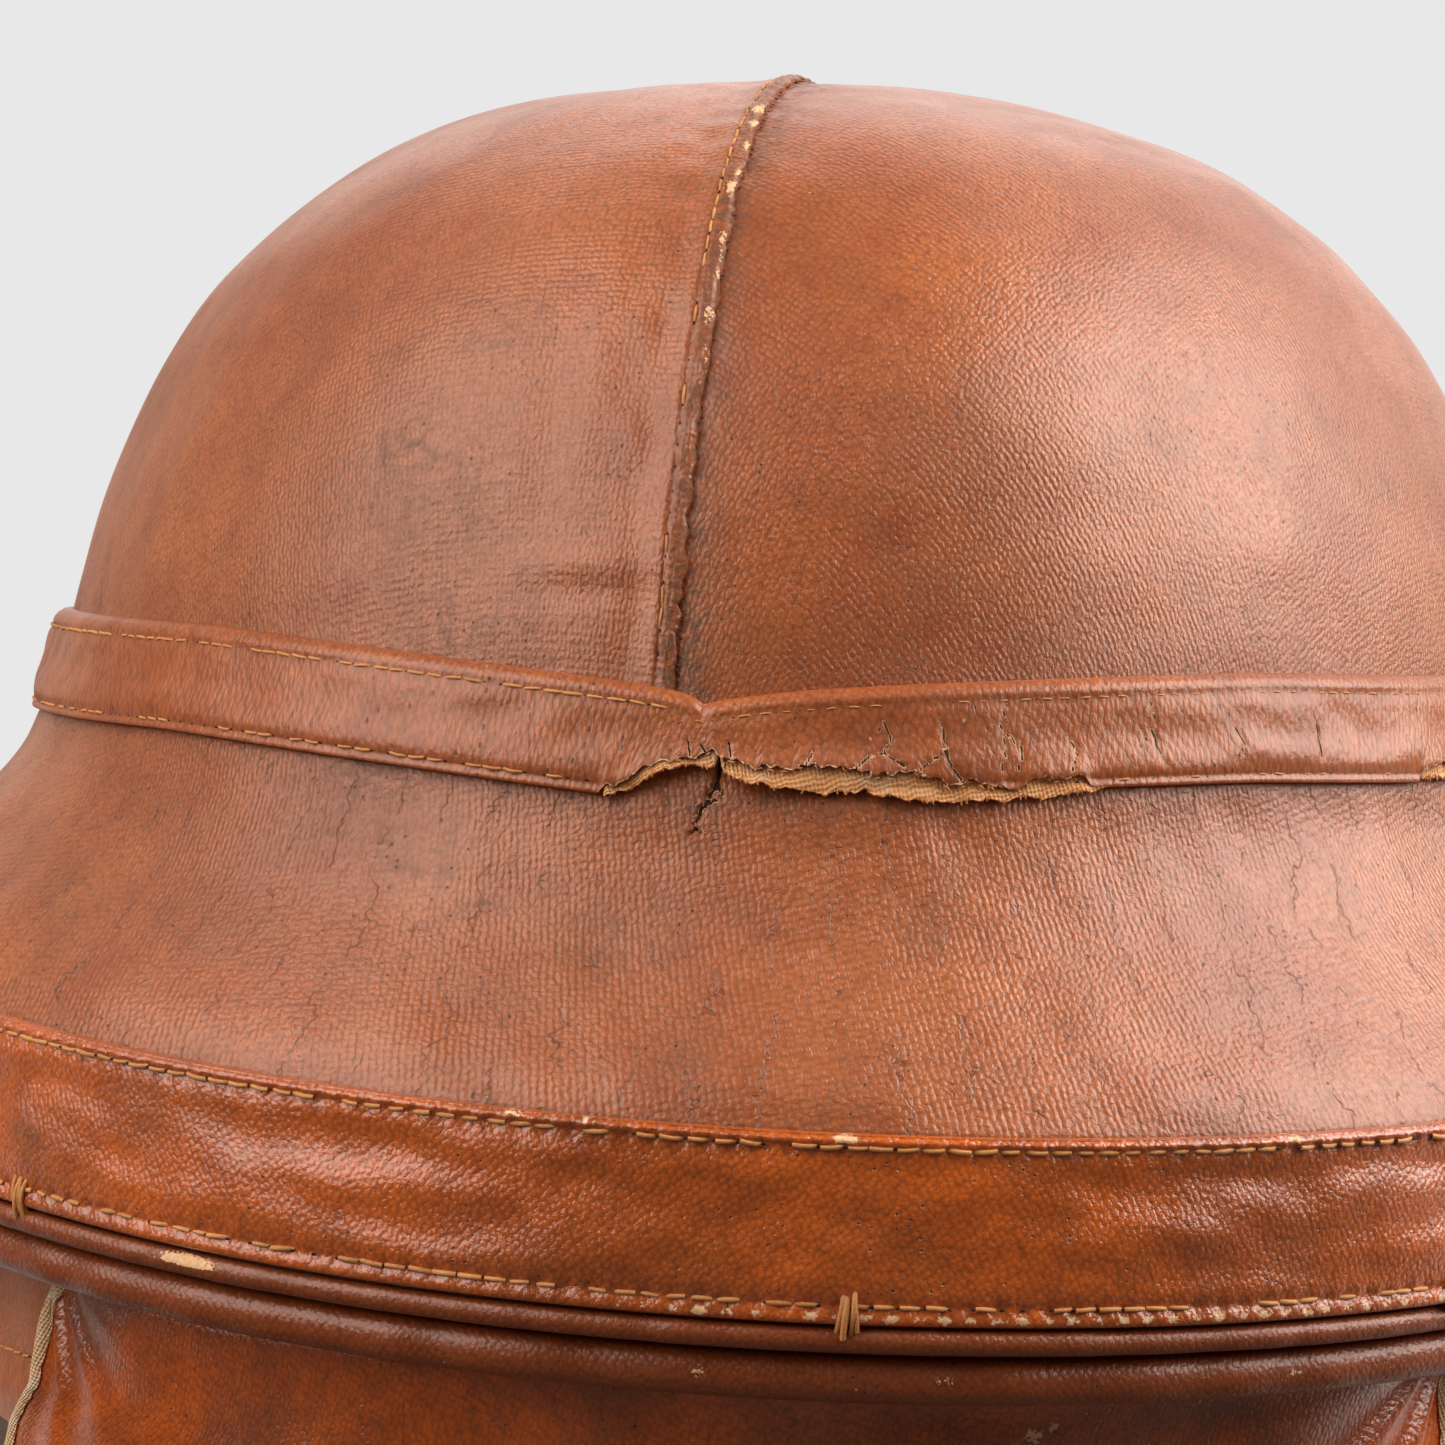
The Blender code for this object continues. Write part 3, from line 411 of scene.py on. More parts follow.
def band_face(angle, down):
    """The band's outside, this far down from its top edge."""
    top_z = BAND_TOP_Z - band_dip(angle)
    share = down / band_full(angle) * sizes().band_height
    out = curve(BAND_EDGE, share / MM) * MM
    z = top_z - down
    base = ring(angle, 0, z)
    middle = smooth_step(down, 1.5 * MM, 4 * MM) * smooth_step(11.8 * MM - down, 0, 3 * MM)
    uneven = 0.22 * MM * ripple(base, 26 * MM, 23) + 0.10 * MM * ripple(base * (1, 1, 2), 9 * MM, 24)
    join = -0.45 * MM * bump_at(angle - JOIN_ANGLE, 0.35 * DEG) * bump_at(share - 0.8 * MM, 1.1 * MM)
    return ring(angle, dome_out(angle, z) + out + uneven * middle + join, z)


def brim_start(angle):
    """Where the brim leaves the crown, at the solid band's lower edge."""
    z = BAND_TOP_Z - sizes().band_height - broad_dip(angle)
    return dome_out(angle, z) + BRIM_START_OUT, z


def hem_top_z(angle):
    edge = ring(angle, sizes().brim_reach + HEM_STAND, 0)
    return BAND_TOP_Z - BRIM_FALL - BRIM_TILT_SHARE * edge[..., 1] + BRIM_LEAN_SHARE * edge[..., 0]


def hem_bottom_z(angle):
    return hem_top_z(angle) - sizes().hem_height


TEAR_RADIUS = 125 * MM
SPLIT = (
    (((93.45, 35.5), (93.40, 32.8), (93.12, 31.4)), 0.42),
    (((93.12, 31.4), (92.72, 30.3), (92.86, 29.8), (92.40, 29.2), (92.34, 28.3)), 0.34),
    (((92.34, 28.3), (92.05, 27.3), (92.18, 26.7), (91.80, 26.0)), 0.20),
    (((93.30, 31.9), (93.78, 31.2), (93.55, 30.5), (93.0, 29.9), (92.5, 29.2)), 0.24),
    (((92.18, 26.7), (92.5, 26.2)), 0.2),
)
BRIM_DENTS = (
    (-60, 10, 16, 5, 0.45), (-78, 6, 12, 4, -0.35), (-48, 4, 10, 3.5, 0.30), (58, 12, 9, 9, -0.4),
    (70, 6, 8, 7, 0.4), (20, 24, 14, 4, 0.25), (-18, 14, 9, 7, -0.25),
)


def torn_open(angle, level, tears):
    """How open a cover is torn along lines of (degrees, millimetres), from 0 to 1."""
    across = angle * TEAR_RADIUS
    open_share = np.zeros(np.broadcast(angle, level).shape)
    for line, width in tears:
        points = np.array(line) * (DEG * TEAR_RADIUS, MM)
        for start, end in zip(points, points[1:]):
            way = end - start
            share = np.clip(((across - start[0]) * way[0] + (level - start[1]) * way[1]) / (way @ way), 0, 1)
            gap = np.hypot(across - start[0] - share * way[0], level - start[1] - share * way[1])
            open_share = np.maximum(open_share, 1 - smooth_step(gap, 0.35 * width * MM, 1.5 * width * MM))
    return open_share


def brim_face(angle, share):
    """The brim's outside, from the cover's join behind the band (below 0) to behind the hem (above 1)."""
    start_out, start_z = brim_start(angle)
    end_z = hem_top_z(angle)
    knots = np.linspace(0, 1, len(BRIM_OUT_SHARES))
    held = np.clip(share, 0, 1)
    out = start_out + (sizes().brim_reach - start_out) * curve(list(zip(knots, BRIM_OUT_SHARES)), held)
    z = start_z + (end_z - start_z) * curve(list(zip(knots, BRIM_FALL_SHARES)), held)
    join_z = COVER_JOIN_Z - GAP
    above = np.clip(-share, 0, 1)
    out = out + above * (dome_out(angle, join_z) - start_out)
    z = z + above * (join_z - start_z)
    below = np.maximum(share - 1, 0)
    z = z - below * (sizes().hem_height - sizes().cover)
    base = ring(angle, out, z)
    uneven = 0.36 * MM * ripple(base, 40 * MM, 31) + 0.10 * MM * ripple(base, 13 * MM, 32)
    uneven = uneven + MM * spread_marks(base, BRIM_DENTS)
    held_down = smooth_step(share, -0.1, 0.12) * smooth_step(1.0 - share, 0.0, 0.12)
    moved = out + uneven * held_down - 0.7 * MM * torn_open(angle, z, SPLIT)
    return ring(angle, moved, z)


HEM_EDGE = (
    (0, 0.15), (0.05, 0.9), (0.3, 1.6), (0.75, 2.15), (1.2, 2.05), (1.6, 1.76), (2.0, 1.78), (2.8, 1.85),
    (5.5, 1.75), (11, 2.2), (16, 2.05), (19.4, 1.7), (20.2, 1.42), (20.7, 1.6), (21.4, 1.8), (22.1, 1.65),
    (22.4, 1.2), (22.5, 0.6),
)
HEM_ROWS = (
    0, 0.05, 0.15, 0.3, 0.5, 0.75, 1.0, 1.2, 1.4, 1.6, 1.8, 2.0, 2.4, 2.9, 3.6, 4.5, 5.5, 6.6, 7.7, 8.8,
    9.9, 11, 12.1, 13.2, 14.3, 15.4, 16.5, 17.5, 18.4, 19.1, 19.6, 19.9, 20.2, 20.5, 20.8, 21.2, 21.6,
    22.0, 22.3, 22.45, 22.5,
)
HEM_STITCH_TOP = 1.6 * MM
HEM_STITCH_LOW = 20.2 * MM
HEM_FOLD_REACH = 135 * MM * 0.28


def hem_face(angle, down):
    """The hem's outside, puckered between its two rows of stitches."""
    s = sizes()
    out = curve(HEM_EDGE, down / MM * (HEM_DRAWN / s.hem_height)) * MM
    z = hem_top_z(angle) - down
    base = ring(angle, s.brim_reach, z)
    middle = smooth_step(down, 1.6 * MM, 5 * MM) * smooth_step(20 * MM - down, 0, 4 * MM)
    flat = np.stack(np.broadcast_arrays(angle * HEM_FOLD_REACH, down, 0 * down), -1)
    folds = 0.36 * MM * ripple(flat, 9 * MM, 41) + 0.10 * MM * ripple(flat * (2.2, 1, 1), 5 * MM, 42)
    tight = bump_at(down - HEM_STITCH_TOP, 1.1 * MM) + bump_at(down - HEM_STITCH_LOW, 1.2 * MM)
    pull = np.cos(2 * math.pi * ring_arc(angle, s.brim_reach) / s.hem_pitch)
    out = out + folds * middle - 0.16 * MM * tight * pull + 0.12 * MM * ripple(base, 30 * MM, 43)
    return ring(angle, s.brim_reach + GAP + out, z)


def ring_arc(angle, out):
    """The distance round a ring from the front, worked out on a fine table."""
    fine = once_round(3001)
    return np.interp(angle, fine, gone_along(ring(fine, out, 0)))


# Meshes

SHARP_TURN = 42 * DEG
WELD = 2e-6


def link(name, mesh):
    made = bpy.data.objects.new(name, mesh)
    bpy.context.scene.collection.objects.link(made)
    return made


def evaluated_mesh(piece):
    """A mesh of its own of what a piece looks like with its modifiers."""
    return bpy.data.meshes.new_from_object(piece.evaluated_get(bpy.context.evaluated_depsgraph_get()))


def cloth_map(grid):
    """Distances gone across and down a grid, with one more of each for the way back to the start."""
    across, down = grid[len(grid) // 3], grid[:, grid.shape[1] // 2]
    gone = (gone_along(np.concatenate([line, line[:1]])) for line in (across, down))
    return np.stack(np.meshgrid(*gone), -1)


def closed_map(cloth):
    """A given cloth map with its first row and column again at its ends."""
    cloth = np.concatenate([cloth, cloth[:1]])
    return np.concatenate([cloth, cloth[:, :1]], 1)


def quads_of(grid, cloth, wrap):
    """The faces between a grid's points, and the places of their corners on the cloth."""
    rows, columns = grid.shape[:2]
    index = np.arange(rows * columns).reshape(rows, columns)
    r = np.arange(rows)[:, None]
    c = np.arange(columns if wrap else columns - 1)[None, :]
    below, beside = (r + 1) % rows, (c + 1) % columns
    faces = np.stack([index[r, c], index[r, beside], index[below, beside], index[below, c]], -1)
    corners = np.stack([cloth[r, c], cloth[r, c + 1], cloth[r + 1, c + 1], cloth[r + 1, c]], 2)
    faces, corners = faces.reshape(-1, 4), corners.reshape(-1, 2)
    for column in () if wrap else (0, columns - 1):
        up = np.arange(rows // 2 - 1)
        loop = [up, up + 1, rows - 2 - up, rows - 1 - up]
        faces = np.concatenate([faces, np.stack([index[k, column] for k in loop], -1)])
        corners = np.concatenate([corners, np.stack([cloth[k, column] for k in loop], 1).reshape(-1, 2)])
    return faces, corners


def skin(name, grid, finish, wrap=True, cloth=None, **marks):
    """Makes one closed mesh from rows of points whose last row joins the first.

    Columns wrap round when wrap is true. Otherwise the two open ends are closed, between the first
    half of the rows and the second half, which runs back the other way. Marks are painted on the
    first rows, as many as they are given for.
    """
    faces, corners = quads_of(grid, cloth_map(grid) if cloth is None else closed_map(cloth), wrap)
    mesh = bpy.data.meshes.new(name)
    mesh.from_pydata(grid.reshape(-1, 3).tolist(), [], faces.tolist())
    mesh.uv_layers.new(name="cloth").data.foreach_set("uv", corners.ravel().astype(np.float32))
    for word in ("grime", "bare", "split"):
        values = np.zeros(grid.shape[:2], np.float32)
        if word in marks:
            values[:len(marks[word])] = marks[word]
        mesh.attributes.new(word, "FLOAT", "POINT").data.foreach_set("value", values.ravel())
    tidied = bmesh.new()
    tidied.from_mesh(mesh)
    bmesh.ops.remove_doubles(tidied, verts=tidied.verts, dist=WELD)
    bmesh.ops.recalc_face_normals(tidied, faces=tidied.faces)
    tidied.to_mesh(mesh)
    tidied.free()
    mesh.shade_smooth()
    mesh.set_sharp_from_angle(angle=SHARP_TURN)
    mesh.materials.append(finish)
    return link(name, mesh)


def normals_of(grid, wrap=True):
    """Unit normals of a grid of points, away from the helmet's upright axis."""
    down = np.gradient(grid, axis=0)
    if wrap:
        across = np.roll(grid, -1, 1) - np.roll(grid, 1, 1)
    else:
        across = np.gradient(grid, axis=1)
    normal = unit(np.cross(across, down))
    outward = np.sign((normal[..., :2] * grid[..., :2]).sum(-1).mean())
    return normal * outward


def shell(outer, thickness, wrap=True, every=1):
    """An outer grid with its own inner side behind it, all in one loop of rows."""
    inner = outer - normals_of(outer, wrap) * thickness
    chosen = list(range(0, len(outer) - 1, every)) + [len(outer) - 1]
    return np.concatenate([outer, inner[chosen][::-1]])


def fit(piece, body, slot, *nodes):
    """Sets a finished piece on its body, in the place of its solids; its slot is not used."""
    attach(piece, body)
    if nodes:
        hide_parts(*nodes)


# Strands: stitches, holes, whiskers and torn threads

def shown(node):
    """The output of a node that its settings leave in use."""
    return next(socket for socket in node.outputs if socket.enabled)


def add(tree, kind, inputs=(), **settings):
    """Adds a node with its settings, and with values or links for its sockets, named or in order."""
    made = tree.nodes.new(kind)
    for name, value in settings.items():
        setattr(made, name, value)
    for name, value in inputs.items() if isinstance(inputs, dict) else enumerate(inputs):
        if isinstance(value, bpy.types.Node):
            value = shown(value)
        if isinstance(value, bpy.types.NodeSocket):
            tree.links.new(value, made.inputs[name])
        else:
            made.inputs[name].default_value = value
    return made


STRAND_INPUTS = (
    ("Start", "NodeSocketVector", (-1.0 * MM, 0, 0)),
    ("Middle", "NodeSocketVector", (0, 0, 0.6 * MM)),
    ("End", "NodeSocketVector", (1.0 * MM, 0, 0)),
    ("Diameter", "NodeSocketFloat", 0.5 * MM),
    ("Loose Turn", "NodeSocketFloat", 0.1),
    ("Shortest Share", "NodeSocketFloat", 0.85),
    ("Seed", "NodeSocketInt", 0),
    ("Finish", "NodeSocketMaterial", None),
)


def strand_tube(tree, given):
    """The bent round tube that every strand is a copy of."""
    bend = add(tree, "GeometryNodeCurveQuadraticBezier", {
        "Resolution": 6, "Start": given["Start"], "Middle": given["Middle"], "End": given["End"],
    })
    radius = add(tree, "ShaderNodeMath", {0: given["Diameter"], 1: 0.5}, operation="MULTIPLY")
    circle = add(tree, "GeometryNodeCurvePrimitiveCircle", {"Resolution": 6, "Radius": radius})
    return add(tree, "GeometryNodeCurveToMesh", {"Curve": bend, "Profile Curve": circle, "Fill Caps": True})


def strand_turn(tree, given):
    """The turn of every strand: along its line, facing out, and a little loose."""
    along, out = (
        add(tree, "GeometryNodeInputNamedAttribute", {"Name": word}, data_type="FLOAT_VECTOR").outputs[0]
        for word in ("along", "out")
    )
    laid = add(tree, "FunctionNodeAlignRotationToVector", {"Vector": along}, axis="X")
    stood = add(
        tree, "FunctionNodeAlignRotationToVector", {"Rotation": laid, "Vector": out}, axis="Z", pivot_axis="X"
    )
    least = add(tree, "ShaderNodeMath", {0: given["Loose Turn"], 1: -1.0}, operation="MULTIPLY")
    loose = add(tree, "FunctionNodeRandomValue", {
        0: least, 1: given["Loose Turn"], "Seed": given["Seed"],
    }, data_type="FLOAT_VECTOR")
    turn = add(tree, "FunctionNodeEulerToRotation", {"Euler": loose})
    turned = {"Rotation": stood, "Rotate By": turn}
    return add(tree, "FunctionNodeRotateRotation", turned, rotation_space="LOCAL")


def strand_tree():
    """The node tree that lays one bent round strand on every point of a mesh."""
    found = bpy.data.node_groups.get("strands")
    if found:
        return found
    tree = bpy.data.node_groups.new("strands", "GeometryNodeTree")
    tree.interface.new_socket("Geometry", in_out="INPUT", socket_type="NodeSocketGeometry")
    for name, kind, default in STRAND_INPUTS:
        socket = tree.interface.new_socket(name, in_out="INPUT", socket_type=kind)
        if default is not None:
            socket.default_value = default
    tree.interface.new_socket("Geometry", in_out="OUTPUT", socket_type="NodeSocketGeometry")
    given = add(tree, "NodeGroupInput").outputs
    share = add(tree, "GeometryNodeInputNamedAttribute", {"Name": "share"}, data_type="FLOAT").outputs[0]
    spread = add(tree, "FunctionNodeRandomValue", {
        2: given["Shortest Share"], 3: 1.1, "Seed": given["Seed"],
    }, data_type="FLOAT")
    scale = add(tree, "ShaderNodeMath", {0: spread.outputs[1], 1: share}, operation="MULTIPLY")
    placed = add(tree, "GeometryNodeInstanceOnPoints", {
        "Points": given["Geometry"], "Instance": strand_tube(tree, given),
        "Rotation": strand_turn(tree, given), "Scale": scale,
    })
    real = add(tree, "GeometryNodeRealizeInstances", {"Geometry": placed})
    smooth = add(tree, "GeometryNodeSetShadeSmooth", {"Geometry": real})
    done = add(tree, "GeometryNodeSetMaterial", {"Geometry": smooth, "Material": given["Finish"]})
    add(tree, "NodeGroupOutput", {"Geometry": done})
    return tree


def strands(name, places, finish, body="helmet", **values):
    """Lays strands on places, each one a point, the way it runs, the way out and its size share."""
    points, along, out, share = (np.ascontiguousarray(part, dtype=np.float32) for part in places)
    mesh = bpy.data.meshes.new(name)
    mesh.from_pydata(points.tolist(), [], [])
    for word, part in (("along", along), ("out", out)):
        mesh.attributes.new(word, "FLOAT_VECTOR", "POINT").data.foreach_set("vector", part.ravel())
    mesh.attributes.new("share", "FLOAT", "POINT").data.foreach_set("value", share)
    made = link(name, mesh)
    modifier = made.modifiers.new("Strands", "NODES")
    modifier.node_group = strand_tree()
    wanted = {"Finish": finish} | {word.replace("_", " ").title(): value for word, value in values.items()}
    for item in modifier.node_group.interface.items_tree:
        if item.in_out == "INPUT" and item.name in wanted:
            modifier[item.identifier] = wanted[item.name]
    baked = evaluated_mesh(made)
    made.modifiers.clear()
    made.data = baked
    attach(made, body)


def places_on(line, out, pitch, seed=0, jitter=0.0):
    """Even places along a line of points: where, which way it runs, which way is out, and a size."""
    gone = gone_along(line)
    at = np.arange(pitch / 2, gone[-1] - pitch / 4, pitch)
    at = at + np.random.default_rng(seed).uniform(-jitter, jitter, len(at)) * pitch
    where, ahead, outward = (
        np.stack([np.interp(at + step, gone, part[:, k]) for k in range(3)], -1)
        for part, step in ((line, 0), (line, pitch / 4), (np.broadcast_to(out, line.shape), 0))
    )
    return [where, unit(ahead - where), unit(outward), np.ones(len(at))]


def chosen(places, keep):
    """Only the places whose mark is true."""
    return [part[keep] for part in places]


def out_of(face, angle, down):
    """Outward normals of a ring-like face along a line on it."""
    step = 0.2 * MM
    across = face(angle + step * 8, down) - face(angle - step * 8, down)
    drop = face(angle, down + step) - face(angle, down - step)
    normal = unit(np.cross(drop, across))
    return normal * np.sign((normal * ring(angle, 0, 0)).sum(-1, keepdims=True))


def places_round(face, count, down, pitch, seed, jitter):
    """Even places once round a ring-like face, this far down it."""
    angle = once_round(count)
    level = np.full(count, down)
    return places_on(face(angle, level), out_of(face, angle, level), pitch, seed, jitter)


def sewn(name, places, thread, seed, pitch, keep=slice(None), body="helmet", sunk=0.12 * MM):
    """One row of stitches: threads where they are kept, and their needle holes everywhere."""
    across = sizes().thread
    half = pitch * 0.43
    kept = chosen(places, keep)
    if len(kept[0]):
        strands(
            name + "_thread", kept, FINISH["thread"], body, diameter=across * thread, seed=seed,
            start=(-half, 0, -sunk), middle=(0, 0, across * 0.9), end=(half, 0, -sunk), loose_turn=0.10,
        )
    holes = [places[0] - places[1] * pitch / 2, *places[1:]]
    strands(
        name + "_holes", holes, FINISH["hole"], body, diameter=0.34 * MM, seed=seed + 1, loose_turn=0.3,
        start=(-0.24 * MM, 0, -0.14 * MM), middle=(0, 0, -0.08 * MM), end=(0.24 * MM, 0, -0.14 * MM),
    )


def sewn_along(name, line, out, thread, seed, pitch, rng, chance, jitter=0.05, body="helmet"):
    """A row of stitches along a line, each thread with a chance that it is still there."""
    places = places_on(line, out, pitch, seed, jitter)
    sewn(name, places, thread, seed, pitch, rng.random(len(places[0])) < chance, body)


# Materials

FINISH = {}
WAVE_SCALE = math.pi / 10
CLOTH_STRAY = 0.45 * MM
CLOTH_NOISES = (
    ("stray", 3, 2), ("fine", 0.5, 2), ("mottle", 1.7, 4),
    ("ruddy", 8, 6), ("smudge", 14, 7), ("patchy", 42, 4),
)
CLOTH_SPECKS = ((1.5, 0.82, 0.085, "3f2215"), (2.9, 0.95, 0.04, "dba577"))


class Graph:
    """A node tree for shading, added to in short calls."""

    def __init__(self, tree):
        self.tree = tree

    def node(self, kind, inputs=(), **settings):
        return add(self.tree, "ShaderNode" + kind, inputs, **settings)

    def math(self, operation, *values):
        return self.node("Math", values, operation=operation)

    def ramp(self, value, low, high, start=0.0, end=1.0):
        """Turns a value between two bounds into one between two others."""
        return self.node("MapRange", (value, low, high, start, end))

    def mix(self, share, first, second):
        """Mixes two colours by a share."""
        return self.node("Mix", {0: share, 6: first, 7: second}, data_type="RGBA")

    def noise(self, where, reach, detail, roughness=0.5, **settings):
        """Unevenness with bumps about this far apart."""
        inputs = {"Vector": where, "Scale": 1 / reach, "Detail": detail, "Roughness": roughness}
        return self.node("TexNoise", inputs, **settings)

    def cells(self, where, pitch, inputs=None, **settings):
        """Flat cells this far apart."""
        inputs = {"Vector": where, "Scale": 1 / pitch} | (inputs or {})
        return self.node("TexVoronoi", inputs, voronoi_dimensions="2D", **settings)

    def bands(self, where, pitch, distortion, inputs=None, way="X"):
        """Bands this far apart across X or Y."""
        inputs = {"Vector": where, "Scale": WAVE_SCALE / pitch, "Distortion": distortion} | (inputs or {})
        return self.node("TexWave", inputs, bands_direction=way).outputs["Fac"]

    def cloth(self):
        """Places on the piece's flat cloth, in metres."""
        return self.node("UVMap", uv_map="cloth")

    def mark(self, word):
        """A mark painted on the piece's points."""
        return self.node("Attribute", attribute_name=word).outputs["Fac"]


def started(name):
    """A new material's graph and shader, and where its surface is in the object."""
    made = bpy.data.materials.new(name)
    made.use_nodes = True
    g = Graph(made.node_tree)
    return made, g, made.node_tree.nodes["Principled BSDF"], g.node("TexCoord").outputs["Object"]


def dress(g, shader, colour, roughness, height, depth, constants=None):
    """Gives a shader its colour, its gloss, its relief and its constant values."""
    bumped = g.node("Bump", {"Height": height, "Distance": depth})
    sockets = {"Base Color": colour, "Roughness": roughness, "Normal": bumped, "Coat Normal": bumped}
    for name, value in (sockets | (constants or {})).items():
        if isinstance(value, bpy.types.Node):
            g.tree.links.new(shown(value), shader.inputs[name])
        else:
            shader.inputs[name].default_value = value


def pebbled(g, flat, noises, lay, twill):
    """The coated twill's pebbles and its relief, with faint ribs where it isn't rubbed smooth."""
    pitch = sizes().weave
    strayed = g.node(
        "VectorMath", (noises["stray"].outputs["Color"], (CLOTH_STRAY,) * 3, flat), operation="MULTIPLY_ADD"
    )
    laid = g.node("Mapping", {"Vector": strayed, "Rotation": (0, 0, lay), "Scale": (1, 0.82, 1)})
    cells = g.cells(laid, pitch, {"Smoothness": 0.10, "Randomness": 0.58}, feature="SMOOTH_F1")
    pebble = cells.outputs["Distance"]
    rib = g.bands(laid, pitch, 0.8, {"Detail": 2, "Detail Scale": 2.5})
    ribbed = g.ramp(noises["smudge"], 0.40, 0.62, twill, twill * 0.2)
    return pebble, g.math("MULTIPLY_ADD", rib, ribbed, g.math("SUBTRACT", noises["fine"], pebble))


def coated(g, noises, pebble, colour, deep):
    """The coating's colour, deeper in patches, darker between the pebbles and ruddy here and there."""
    body = g.mix(g.ramp(noises["patchy"], 0.36, 0.66), colour, deep)
    pores = g.ramp(pebble, 0.25, 0.62, 1.08, 0.76)
    shade = g.math("MULTIPLY", pores, g.ramp(noises["grit"], 0.65, 1.35, 0.78, 1.2))
    body = g.node("VectorMath", {0: body, "Scale": shade}, operation="SCALE")
    return g.mix(g.ramp(noises["ruddy"], 0.50, 0.74, 0, 0.45), body, linear("8c3a17"))


def soiled_and_shaded(g, noises):
    """Dirt and painted shade: a little in smudges, more where the mark is painted, most in hollows."""
    soil_and_shade = g.math("MULTIPLY_ADD", g.ramp(noises["smudge"], 0.50, 0.74), 0.45, g.mark("grime"))
    soil_and_shade = g.math("MULTIPLY", soil_and_shade, g.ramp(noises["mottle"], 0.34, 0.62, 0.12, 1.0))
    return g.math("MINIMUM", soil_and_shade, 0.85)


def specked(g, flat, noises, body, height):
    """Dark and pale specks, pressed a little into the cloth."""
    for reach, rarity, dot, colour in CLOTH_SPECKS:
        cell = g.cells(flat, reach * MM)
        spot = g.ramp(cell.outputs["Distance"], dot * 1.7, dot)
        rare = g.ramp(g.node("SeparateColor", {"Color": cell.outputs["Color"]}), rarity, rarity + 0.04)
        spot = g.math("MULTIPLY", spot, rare)
        spot = g.math("MULTIPLY", spot, g.ramp(noises["smudge"], 0.40, 0.62, 0.1, 1.0))
        body = g.mix(spot, body, linear(colour))
        height = g.math("MULTIPLY_ADD", spot, -0.8, height)
    return body, height


def cracked(g, flat, noises, body, height, cracks):
    """Fine wandering cracks in the coating."""
    drift = g.bands(flat, 7 * MM, 6, {"Detail": 4, "Detail Scale": 1.6, "Detail Roughness": 0.7})
    line = g.ramp(drift, 0.993, 0.9992, 0, cracks)
    line = g.math("MULTIPLY", line, g.ramp(noises["ruddy"], 0.46, 0.54))
    return g.mix(line, body, linear("5c2e15")), g.math("MULTIPLY_ADD", line, -1.2, height)


def leathercloth(name, colour, deep, lay, rough, twill=0.22, coat=0.10, cracks=0.0, grain=0.10 * MM):
    """Cotton twill under a pigmented cellulose coating, as bookcloth and motor hoods were made.

    The threads lift the coating into rows of small pebbles, which break its satin gloss into sparks.
    Handling dulls it, dark dirt gathers in the weave, and it flakes to pale canvas where it rubs. Painted
    shade darkens it under the edges that stand over it.
    """
    f = finishes()
    made, g, shader, _ = started(name)
    flat = g.cloth()
    noises = {
        word: g.noise(flat, reach * MM, detail, 0.68, noise_dimensions="2D")
        for word, reach, detail in CLOTH_NOISES
    }
    noises["grit"] = g.math("ADD", noises["mottle"], noises["fine"])
    pebble, height = pebbled(g, flat, noises, lay, twill)
    # Dirt, and painted shade where the mark is painted under edges, darken the coating and dull its gloss.
    soil_and_shade = soiled_and_shaded(g, noises)
    body = g.mix(soil_and_shade, coated(g, noises, pebble, colour, deep), f.grime)
    body, height = specked(g, flat, noises, body, height)

    split = g.mark("split")
    worn = g.math("ADD", g.mark("bare"), g.ramp(split, 0.15, 0.6))
    bare = g.ramp(g.math("MULTIPLY_ADD", noises["grit"], 1.2, worn), 1.95, 2.02)
    body = g.mix(bare, body, g.mix(g.ramp(noises["fine"], 0.35, 0.65), f.canvas, f.cream))
    height = g.math("MULTIPLY_ADD", bare, -0.9, height)
    if cracks:
        body, height = cracked(g, flat, noises, body, height, cracks)
    # Painted shade in the gap of each split and crack.
    split_shade = g.ramp(g.math("MULTIPLY_ADD", noises["fine"], 0.4, split), 0.78, 0.9)
    body = g.mix(split_shade, body, linear("43200f"))

    satin = g.ramp(noises["patchy"], 0.34, 0.68, rough - 0.03, rough + 0.06)
    dull = g.math("MULTIPLY_ADD", soil_and_shade, 0.28, satin)
    dull = g.math("MULTIPLY_ADD", g.math("MAXIMUM", bare, split_shade), 0.5, dull)
    dress(g, shader, body, dull, height, grain, {
        "Specular IOR Level": 0.75, "Specular Tint": linear("ffe6d6"),
        "Coat Weight": coat, "Coat Roughness": 0.13,
    })
    return made


def bare_canvas(name, colour, pale, pitch):
    """Undyed cotton canvas in plain weave: matt, with every thread showing where it is torn open."""
    made, g, shader, solid = started(name)
    cloth = g.node("Mapping", {"Vector": g.cloth(), "Rotation": (0, 0, 0.25)})
    fuzz = g.noise(solid, 0.4 * MM, 3)
    stain = g.noise(solid, 3 * MM, 4)
    weave = g.math("ADD", *(g.bands(cloth, pitch, 0.8, way=way) for way in "XY"))
    height = g.math("MULTIPLY_ADD", fuzz, 0.8, weave)
    body = g.mix(g.ramp(height, 0.7, 1.9), linear("d98f4e"), colour)
    body = g.mix(g.ramp(stain, 0.5, 0.85), body, pale)
    # The mark here is painted shade: on the torn canvas just below the coating's edge, and on the selvedge
    # near the brim.
    body = g.mix(g.mark("grime"), body, linear("7a4420"))
    dress(g, shader, body, 0.85, height, 0.10 * MM)
    return made


def sateen():
    """Cotton sateen: a warp-faced weave with a soft sheen along its long floats, yellowed with age."""
    made, g, shader, solid = started("cotton_sateen")
    floats = g.bands(g.cloth(), 0.35 * MM, 1.2)
    stain = g.noise(solid, 22 * MM, 6, 0.65)
    height = g.math("MULTIPLY_ADD", g.noise(solid, 0.7 * MM, 3), 0.6, floats)
    body = g.mix(g.ramp(stain, 0.42, 0.72, 0, 0.6), finishes().lining, linear("c79f7a"))
    dress(g, shader, body, 0.62, height, 0.05 * MM, {"Sheen Weight": 0.25, "Sheen Roughness": 0.4})
    return made


